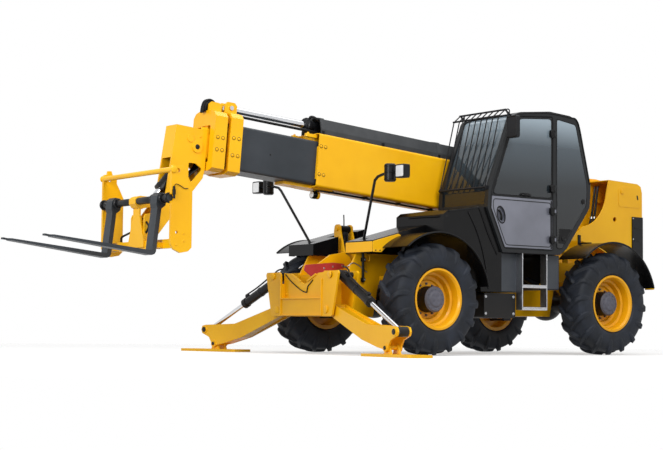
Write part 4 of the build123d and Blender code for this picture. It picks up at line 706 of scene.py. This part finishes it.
def swell(pad, cap_mm, frames=20, mesh_mm=6, pressure=4.0):
    """Cloth under inner pressure, settled for some frames, with no point moved further than the cap."""
    remesh = pad.modifiers.new("remesh", "REMESH")
    remesh.mode = "VOXEL"
    remesh.voxel_size = mesh_mm * MM
    bpy.context.view_layer.objects.active = pad
    bpy.ops.object.modifier_apply(modifier="remesh")
    count = len(pad.data.vertices)
    start = np.zeros(count * 3, np.float32)
    pad.data.vertices.foreach_get("co", start)
    cloth = pad.modifiers.new("cloth", "CLOTH")
    cloth.settings.use_pressure = True
    cloth.settings.uniform_pressure_force = pressure
    cloth.settings.effector_weights.gravity = 0.0
    cloth.point_cache.frame_end = frames
    for frame_number in range(1, frames + 1):
        bpy.context.scene.frame_set(frame_number)
    settled = pad.evaluated_get(bpy.context.evaluated_depsgraph_get()).to_mesh()
    end = np.zeros(count * 3, np.float32)
    settled.vertices.foreach_get("co", end)
    pad.modifiers.remove(cloth)
    bpy.context.scene.frame_set(1)
    move = (end - start).reshape(-1, 3)
    far = np.linalg.norm(move, axis=1, keepdims=True)
    move *= np.minimum(1.0, cap_mm * MM / np.maximum(far, 1e-9))
    pad.data.vertices.foreach_set("co", (start.reshape(-1, 3) + move).ravel())
    pad.data.update()
    rounder = pad.modifiers.new("rounder", "SUBSURF")
    rounder.levels = rounder.render_levels = 1


cushion = piece("seat_cushion", cushion_grid((-1720, 680, 1700), (228, 228, 50)), MOQUETTE)
back = piece("seat_back", cushion_grid((-1990, 680, 1990), (46, 218, 268), -math.radians(8)), MOQUETTE)
for pad in (cushion, back):
    swell(pad, 9)
    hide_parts("seat")
piece("seat_pan", plate(rect(-1930, 470, -1520, 890, 40), "xy", 1641, 1652, 3), POLY)

# ---- nose, posts and lower body ----
upright_folds = row(box_of(NOSE_X - 12, NOSE_X + 13, y, y + 14, 419, 822, 3) for y in (-384, 370))
cross_folds = row(box_of(NOSE_X - 8, NOSE_X + 11, -370, 370, z, z + 13, 3) for z in (419, 603))
piece("nose_frame_folds", joined(upright_folds, cross_folds), ENAMEL)
sign = [(400, 1010), (560, 1018), (946, 980), (960, 918), (836, 835), (704, 905), (400, 960)]
piece("nose_sign", plate(rounded(sign, 14), "xz", 13, 19, 1), SIGN_RED)

both("post_lamp_lens", plate(rect(1262, 1882, 1383, 2000, 16), "yz", 688, 695, 2), LENS_PAINTED_REFLECTION)
lens_rim = beading(rect(1251, 1871, 1394, 2011, 18), "yz", 689, 13, 7)
fins = row(box_of(604, 613, 1262 + 20 * i, 1270 + 20 * i, 1884, 1998, 2) for i in range(7))
both("post_lamp_rim", joined(lens_rim, fins), ABS)
hoop = [(63, -7), (65.5, -5), (65.5, 5), (63, 7)]
both("post_drum_bands", row(turned(hoop, (POST_X, 1120, z), UP, 40) for z in (1868, 1938, 2008)), ABS)
fairing_front = plate(rect(302, 1114, 768, 1226, 12), "yz", 600, 605, 2)
slope = [(600, 1112), (600, 1228), (240, 1324), (190, 1300), (330, 1240), (480, 1112)]
piece("fairing_skin", joined(fairing_front, plate(rounded(slope, 10), "xz", 769, 774, 2)), ENAMEL)


def lip(x, start, end):
    """A rubber lip along a fender's outer edge: points at x + r cos a, axle height + r sin a."""
    arc = polar(FENDER_R, np.radians(np.linspace(start, end, 25))) + (x, TYRE_R)
    return swept(standing(arc, "xz", FENDER_EDGE), 8, 10, 2)


both("fender_lips", joined(lip(0, 50.5, 167.5), lip(REAR_X, 46.5, 163.5)), HOSE)
arc = polar(FENDER_R + 10, np.radians(np.linspace(150, 163, 9))) + (REAR_X, TYRE_R)
tail = np.concatenate([arc, [(-3468, 800), (-3442, 790)], arc[::-1] + (14, -4)])
both("rear_fender_tails", plate(tail, "xz", 1060, 1196, 2), ENAMEL)

treads = [(x, y, z) for z in (800, 547) for y in (1004, 1034, 1064) for x in range(-1700, -1340, 30)]
piece("tread_studs", scatter(turned([(9, -1), (8, 2.5), (4, 4)], (0, 0, 0), UP, 8), treads), ZINC)
tread_edges = row(swept([(-1728, STEP_EDGE, z), (-1540, STEP_EDGE + 1, z), (-1345, STEP_EDGE, z)], 7, 8)
                  for z in (796, 543))
piece("tread_edges", tread_edges, ZINC)
lids = row(plate(rect(x0, z0, x1, 1152, 18), "xz", 984, 989, 2)
           for x0, z0, x1 in ((-1437, 722, -1053), (-2022, 764, -1792)))
piece("box_covers", lids, SLATE)
foot = [(-2420, 1180), (-2420, 1300), (-2480, 1300), (-2500, 1180)]
stays = joined(plate(rect(-2560, 1268, -2300, 1300, 8), "xz", 640, 652, 2),
               plate(rounded(foot, 8), "xz", 652, 700, 2),
               bolts([(-2340, 652, 1284), (-2390, 652, 1284)], LEFT, 9, 8))
both("fender_stays", stays, ENAMEL)

# Bolts and screws on faces square to Y: name, face, (x, z) of each, radius, rise, finish, body and maker.
BOLTS = [
    ("gooseneck_bolts", 106, [(2390, 2270), (2390, 2180), (2620, 1660), (2700, 1560)],
     8, 6, ENAMEL, "boom_head", both),
    ("post_bolts", 701, [(2950, 1130), (2950, 1205), (3040, 1090)], 7, 5, ENAMEL, "carriage", both),
    ("nose_sign_screws", 19, [(430, 985), (560, 970), (680, 950)], 8, 6, ZINC, "main", piece),
    ("post_clamp_bolts", 478, [(470, 820), (470, 1040)], 8, 7, ZINC, "main", both),
    ("fairing_screws", 774, [(500, 1130), (560, 1130)], 6, 4, CHASSIS, "main", piece),
    ("rail_bolts", STEP_EDGE, [(-1341, 1100), (-1731, 1100)], 7, 6, ZINC, "main", piece),
    ("locker_bolts", 1010, [(x, z) for x in (-842, -1270) for z in (660, 470)],
     11, 10, ZINC, "main", piece),
    ("box_cover_screws", 989, [(x, z) for x in (-1420, -1072) for z in (740, 1134)],
     6, 4, CHASSIS, "main", piece),
    ("tail_lamp_screws", 634, [(-3720, z) for z in (1190, 1440, 1700)], 6, 4, ZINC, "main", both),
    ("cheek_bolts", 281, [(-3180, 2010), (-3215, 1930), (-3180, 1700), (-3120, 1560)],
     13, 12, ENAMEL, "main", both),
]
for name, face, spots, r, rise, finish, body, make in BOLTS:
    make(name, bolts([(x, face, z) for x, z in spots], LEFT, r, rise), finish, body)
piece("hood_latches", bolts([(x, -1131, 1350) for x in (-900, -1390, -1880)], (0, -1, 0), 16, 8), CHASSIS)

# ---- caps, hoses, rods and folds ----
# Turned caps: name, (radius, height) pairs, foot, direction, steps, finish, body and maker.
CAPS = [
    ("boom_pivot_caps", [(92, 0), (92, 5), (60, 9), (56, 5), (48, 5), (44, 14), (30, 17)],
     (PIVOT_X, 290, PIVOT_Z), LEFT, 40, CHASSIS, "boom_outer", both),
    ("tilt_pin_caps", [(24, 0), (24, 5), (18, 9), (6, 9)],
     (2430, 117, 2160), LEFT, 32, CHASSIS, "tilt_barrel", both),
    ("top_bar_ends", [(30, 0), (34, 3), (34, 10), (24, 14)],
     (3078, 706, 1835), LEFT, 32, ENAMEL, "carriage", both),
    ("levelling_cap", [(48, 0), (49, 3), (49, 46), (45, 50)],
     (85, -400, 1340), UP, 32, CHASSIS, "main", piece),
    ("filler_cap", [(34, 0), (36, 4), (36, 22), (30, 30), (12, 32)],
     (-1770, 955, 800), (0, 1, 0.1), 32, ENAMEL, "main", piece),
    ("tower_boss_rings", [(20, 0), (22, 3), (17, 6), (12, 3), (8, 3)],
     (TAIL + 375, 631, 2025), LEFT, 32, ENAMEL, "main", both),
]
for name, profile, foot, direction, steps, finish, body, make in CAPS:
    make(name, turned(profile, foot, direction, steps), finish, body)
# Runs of hose, rod and pressed fold: name, finish, body, maker, and each run's points, radius and sides.
RUNS = [
    ("fork_latch", HOSE, "carriage", piece,
     ([(3072, 712, 1545), (3072, 712, 1600), (3072, 712, 1668)], 12, 10),
     ([(3072, 712, 1585), (3072, 712, 1635)], 17, 12),
     ([(3072, 712, 1664), (3050, 714, 1690), (3000, 712, 1676), (2950, 707, 1652), (2905, 702, 1655)],
      4, 8)),
    ("carriage_hoses", HOSE, "carriage", piece,
     ([(3040, -372, 1158), (3042, -356, 1205), (3042, -250, 1232), (3038, -120, 1262),
       (3036, -60, 1290)], 11, 10),
     ([(3040, 96, 1158), (3042, 110, 1210), (3040, 180, 1300), (3044, 70, 1380)], 11, 10)),
    ("levelling_stick", HOSE, "main", piece,
     ([(84, -400, 1468), (84, -400, 1520), (86, -402, 1600)], 7, 8),
     ([(60, -372, 1150), (66, -352, 1210), (70, -348, 1300), (72, -352, 1392)], 11, 10)),
    ("tie_hooks", ENAMEL, "main", both,
     ([(404, 446, 1030), (404, 470, 1030), (400, 474, 1062), (404, 468, 1090), (420, 464, 1096)], 6, 8)),
    ("grease_hoses", ZINC, "main", both,
     ([(420, 452, 905), (480, 458, 935), (560, 455, 985), (620, 450, 1000), (690, 449, 960)], 6, 8)),
    ("cowl_folds", ABS, "main", piece,
     ([(-232, 1063, 1582), (-420, 1064, 1608), (-640, 1064, 1640), (-690, 1063, 1628),
       (-820, 1063, 1360), (-960, 1063, 1130)], 9, 8),
     ([(-520, 1063, 1590), (-640, 1064, 1400), (-735, 1064, 1180), (-800, 1064, 940),
       (-830, 1063, 740)], 8, 8)),
    ("cowl_shelf_edge", ABS, "main", piece,
     ([(-170, 480, 1530), (-168, 700, 1532), (-172, 1000, 1526), (-215, 1050, 1520)], 22, 16)),
    ("filler_neck", CHASSIS, "main", piece,
     ([(-1770, 700, 880), (-1770, 820, 830), (-1770, 950, 800)], 28, 14)),
    ("panel_hoses", HOSE, "main", piece,
     ([(PANEL_X, -350, 880), (PANEL_X + 2, -250, 808), (PANEL_X + 2, -120, 735),
       (PANEL_X + 2, -20, 690), (PANEL_X + 2, 50, 676)], 6, 8),
     ([(PANEL_X, 160, 812), (PANEL_X + 2, 120, 778), (PANEL_X + 2, 72, 740),
       (PANEL_X + 2, 54, 676)], 6, 8)),
]
for name, finish, body, make, *runs in RUNS:
    make(name, row(swept(*run) for run in runs), finish, body)

# ---- tower and tail ----
# Tower slots: black plates on the tower's face, painted shade standing for the dark inside of each slot.
slot_edge = [(TAIL + 72, 1938), (TAIL + 84, 1996), (TAIL + 108, 1996), (TAIL + 98, 1938)]
both("tower_slots", plate(rounded(slot_edge, 11), "xz", 618, 625.5, 1), HOSE)
wrap = [(TAIL - 8, 470), (TAIL - 8, LAMP_SIDE - 8), (TAIL, LAMP_SIDE), (-3705, LAMP_SIDE),
        (-3705, LAMP_SIDE - 14), (TAIL, LAMP_SIDE - 14), (TAIL, 470)]
ribs = row(box_of(-3870, -3740, LAMP_SIDE - 1, LAMP_SIDE + 5, z - 7, z + 7, 1) for z in (1260, 1420, 1580))
housings = both("tail_lamp_housings", joined(plate(wrap, "xy", 1170, 1720, 1), ribs), CHASSIS)
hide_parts("tail_lamps")
rear_panes = row(plate(rect(492, z, 612, z + 118, 12), "yz", TAIL - 14, TAIL - 7, 2)
                 for z in (1200, 1330, 1460, 1590))
both("tail_lamp_lens", rear_panes, LENS_RED)
feed = row(swept([(-3030, y, 1300), (-3052, y, 1500), (-3120, y, 1680), (-3180, y - 20, 1880),
                  (-3250, y - 60, 2050), (-3330, y - 120, 2090)], 15, 12) for y in (480, 526))
both("tower_hoses", feed, HOSE)
hoop = [(16, -14), (21, -12), (21, 12), (16, 14)]
feed_rings = row(turned(hoop, (-3120, y, 1680), (-0.3, 0, 0.95), 24) for y in (480, 526))
both("tower_hose_rings", feed_rings, ZINC)
stack = joined(turned([(46, 0), (46, 60), (40, 66), (34, 66), (34, 8)], (-1700, -700, 1398), UP, 40),
               swept([(-1700, -700, 1440), (-1700, -700, 1560), (-1690, -706, 1640), (-1650, -720, 1690)],
                     30, 24))
piece("exhaust", stack, CHASSIS)

# ---- stabilisers ----
panel_screws = bolts([(PANEL_X - 4, -330, 660), (PANEL_X - 4, 330, 660)], AHEAD, 10, 8)
flap = plate(rounded([(-230, 868), (-70, 792), (-50, 806), (-214, 884)], 6), "yz",
             PANEL_X - 5, PANEL_X + 8, 2)
piece("panel_flaps", joined(flap, mirrored(flap), panel_screws), ENAMEL)
frame_caps = row(turned([(r + 8, -4), (r + 8, 6), (r - 4, 10), (8, 10)], (148, y, z), AHEAD, 32)
                 for y, z, r in ((475, 486, 34), (*CYL_TOP, 30)))
both("frame_pin_caps", moved(frame_caps, splayed), ENAMEL)


def along_barrel(points):
    """(along from the top pin, forward, above) on a stabiliser cylinder's line to the stabiliser's plane."""
    along, ahead, above = np.moveaxis(np.asarray(points, float), -1, 0)
    (y0, z0), (y1, z1) = CYL_TOP, ARM_EYE
    c, s = (y1 - y0) / math.hypot(y1 - y0, z1 - z0), (z1 - z0) / math.hypot(y1 - y0, z1 - z0)
    return np.stack([ahead, y0 + along * c - above * s, z0 + along * s + above * c], -1)


def pin_caps(profile, reach, middle, steps):
    """A cap on each end of a pin that lies along X, reach from its middle and facing outwards."""
    return row(turned(profile, (way * reach, *middle), (way, 0, 0), steps) for way in (-1, 1))


clamp_band = [(48, -16), (52, -16), (54, -13), (54, 13), (52, 16), (48, 16)]
ports = joined(box_of(106, 156, -20, 20, 46, 78, 5), box_of(584, 634, -20, 20, 46, 78, 5),
               turned(clamp_band, (380, 0, 0), AHEAD, 40, hollow=True))
supply = joined(swept([(124, 10, 78), (140, 12, 92), (240, 16, 76), (420, 16, 68), (590, 14, 74),
                       (620, 10, 78)], 9, 10),
                swept([(112, -12, 78), (104, -14, 96), (40, -16, 104), (-30, -18, 84)], 9, 10))
rod_eye = turned([(51, -58), (52.5, -56), (52.5, 56), (51, 58)], (EYE_REACH, 0, 0), LEFT, 40)
arm_bush = pin_caps([(27, 0), (30, 2), (30, 7), (24, 10), (8, 10)], 93, ARM_EYE, 32)
foot_caps = pin_caps([(21, 0), (21, 6), (15, 10), (6, 10)], 95, FOOT_PIN, 24)
for side, turn_over in (("left", joined), ("right", mirrored)):
    for name, shape, part in (("barrel_ports", moved(joined(ports, supply), along_barrel), "barrel"),
                              ("rod_eye", moved(rod_eye, along_barrel), "rod"),
                              ("arm_bushes", arm_bush, "arm"), ("foot_pins", foot_caps, "foot")):
        piece(f"{name}_{side}", turn_over(moved(shape, splayed)), CHASSIS, f"stabiliser_{part}_{side}")

# ---- camera ----
scene = bpy.context.scene
YAW, PITCH, ROLL = -2.2242, 0.0671, 0.010
EYE_FROM_AXLE = (11.008, 13.632, 0.285)
FOCAL_MM, SENSOR_MM = 83.466, 36.0
ahead = np.array([math.cos(PITCH) * math.cos(YAW), math.cos(PITCH) * math.sin(YAW), math.sin(PITCH)])
right = np.cross(ahead, UP)
right /= np.linalg.norm(right)
up = np.cross(right, ahead)
optics = bpy.data.cameras.new("camera")
optics.sensor_width = SENSOR_MM
optics.lens = FOCAL_MM
optics.clip_end = 200.0
camera = bpy.data.objects.new("camera", optics)
stand = np.eye(4)
stand[:3] = np.stack([math.cos(ROLL) * right + math.sin(ROLL) * up,
                      math.cos(ROLL) * up - math.sin(ROLL) * right,
                      -ahead,
                      np.add(EYE_FROM_AXLE, (FRONT, 0.0, 0.0))], -1)
camera.matrix_world = stand.T.tolist()
scene.collection.objects.link(camera)
scene.camera = camera

# ---- stage and light ----
scene.view_settings.view_transform = "Standard"


def seen_only(tree):
    """1 where the camera, a reflection or a refraction looks, 0 for light that falls on the object."""
    ray = add(tree, "LightPath").node.outputs
    direct = add(tree, "Math", operation="MAXIMUM", _0=ray["Is Camera Ray"], _1=ray["Is Glossy Ray"])
    return add(tree, "Math", operation="MAXIMUM", _0=direct, _1=ray["Is Transmission Ray"])


WHITE = linear("#FFFFFF")
world = bpy.data.worlds.new("studio")
scene.world = world
world.use_nodes = True
sky = world.node_tree
sky.nodes.clear()
plain = add(sky, "Background", Color=WHITE, Strength=0.52)
bright = add(sky, "Background", Color=WHITE, Strength=1.0)
add(sky, "OutputWorld", Surface=add(sky, "MixShader", _0=seen_only(sky), _1=plain, _2=bright))


def floor_finish():
    """Pale seamless floor: white where light reaches it, a soft shadow below, gone into white far off."""
    material = bpy.data.materials.new("studio_floor")
    material.use_nodes = True
    tree = material.node_tree
    tree.nodes.clear()
    looked_at = seen_only(tree)
    tone = add(tree, "Mix", 2, data_type="RGBA", _0=looked_at, _6=linear("#B4B4B4"), _7=WHITE)
    matt = add(tree, "BsdfDiffuse", Color=tone)
    glow = add(tree, "Emission", Color=WHITE, Strength=1.0)
    dark = add(tree, "BsdfTransparent", Color=(0.0, 0.0, 0.0, 1.0))
    shown = add(tree, "MixShader", _0=looked_at, _1=dark, _2=glow)
    half = add(tree, "MixShader", _0=0.45, _1=matt, _2=shown)
    away = add(tree, "VectorMath", "Value", operation="LENGTH", _0=add(tree, "TexCoord", "Object"))
    clear = add(tree, "BsdfTransparent", Color=WHITE)
    whole = add(tree, "MixShader", _0=spread(tree, away, 5.0, 9.0), _1=half, _2=clear)
    add(tree, "OutputMaterial", Surface=whole)
    return material


floor_mesh = bpy.data.meshes.new("floor")
floor_mesh.from_pydata([(x, y, 0) for x, y in rect(-60, -60, 60, 60)], [], [range(4)])
floor_mesh.materials.append(floor_finish())
floor = bpy.data.objects.new("floor", floor_mesh)
scene.collection.objects.link(floor)


def lamp(name, place, aim, size, power):
    """A square softbox at place that faces aim."""
    light = bpy.data.lights.new(name, "AREA")
    light.size = size
    light.energy = power
    holder = bpy.data.objects.new(name, light)
    toward = np.array(aim, float) - np.array(place, float)
    holder.location = place
    holder.rotation_euler = (math.atan2(math.hypot(toward[0], toward[1]), -toward[2]), 0.0,
                             math.atan2(toward[1], toward[0]) - math.pi / 2)
    scene.collection.objects.link(holder)


lamp("key", (2.0, 12.0, 9.0), (0.0, 0.0, 1.2), 6.0, 1000.0)
lamp("top", (-1.0, 1.0, 10.0), (0.0, 0.0, 0.0), 7.0, 460.0)
lamp("front", (13.0, 4.0, 5.0), (0.0, 0.0, 1.0), 5.0, 1000.0)
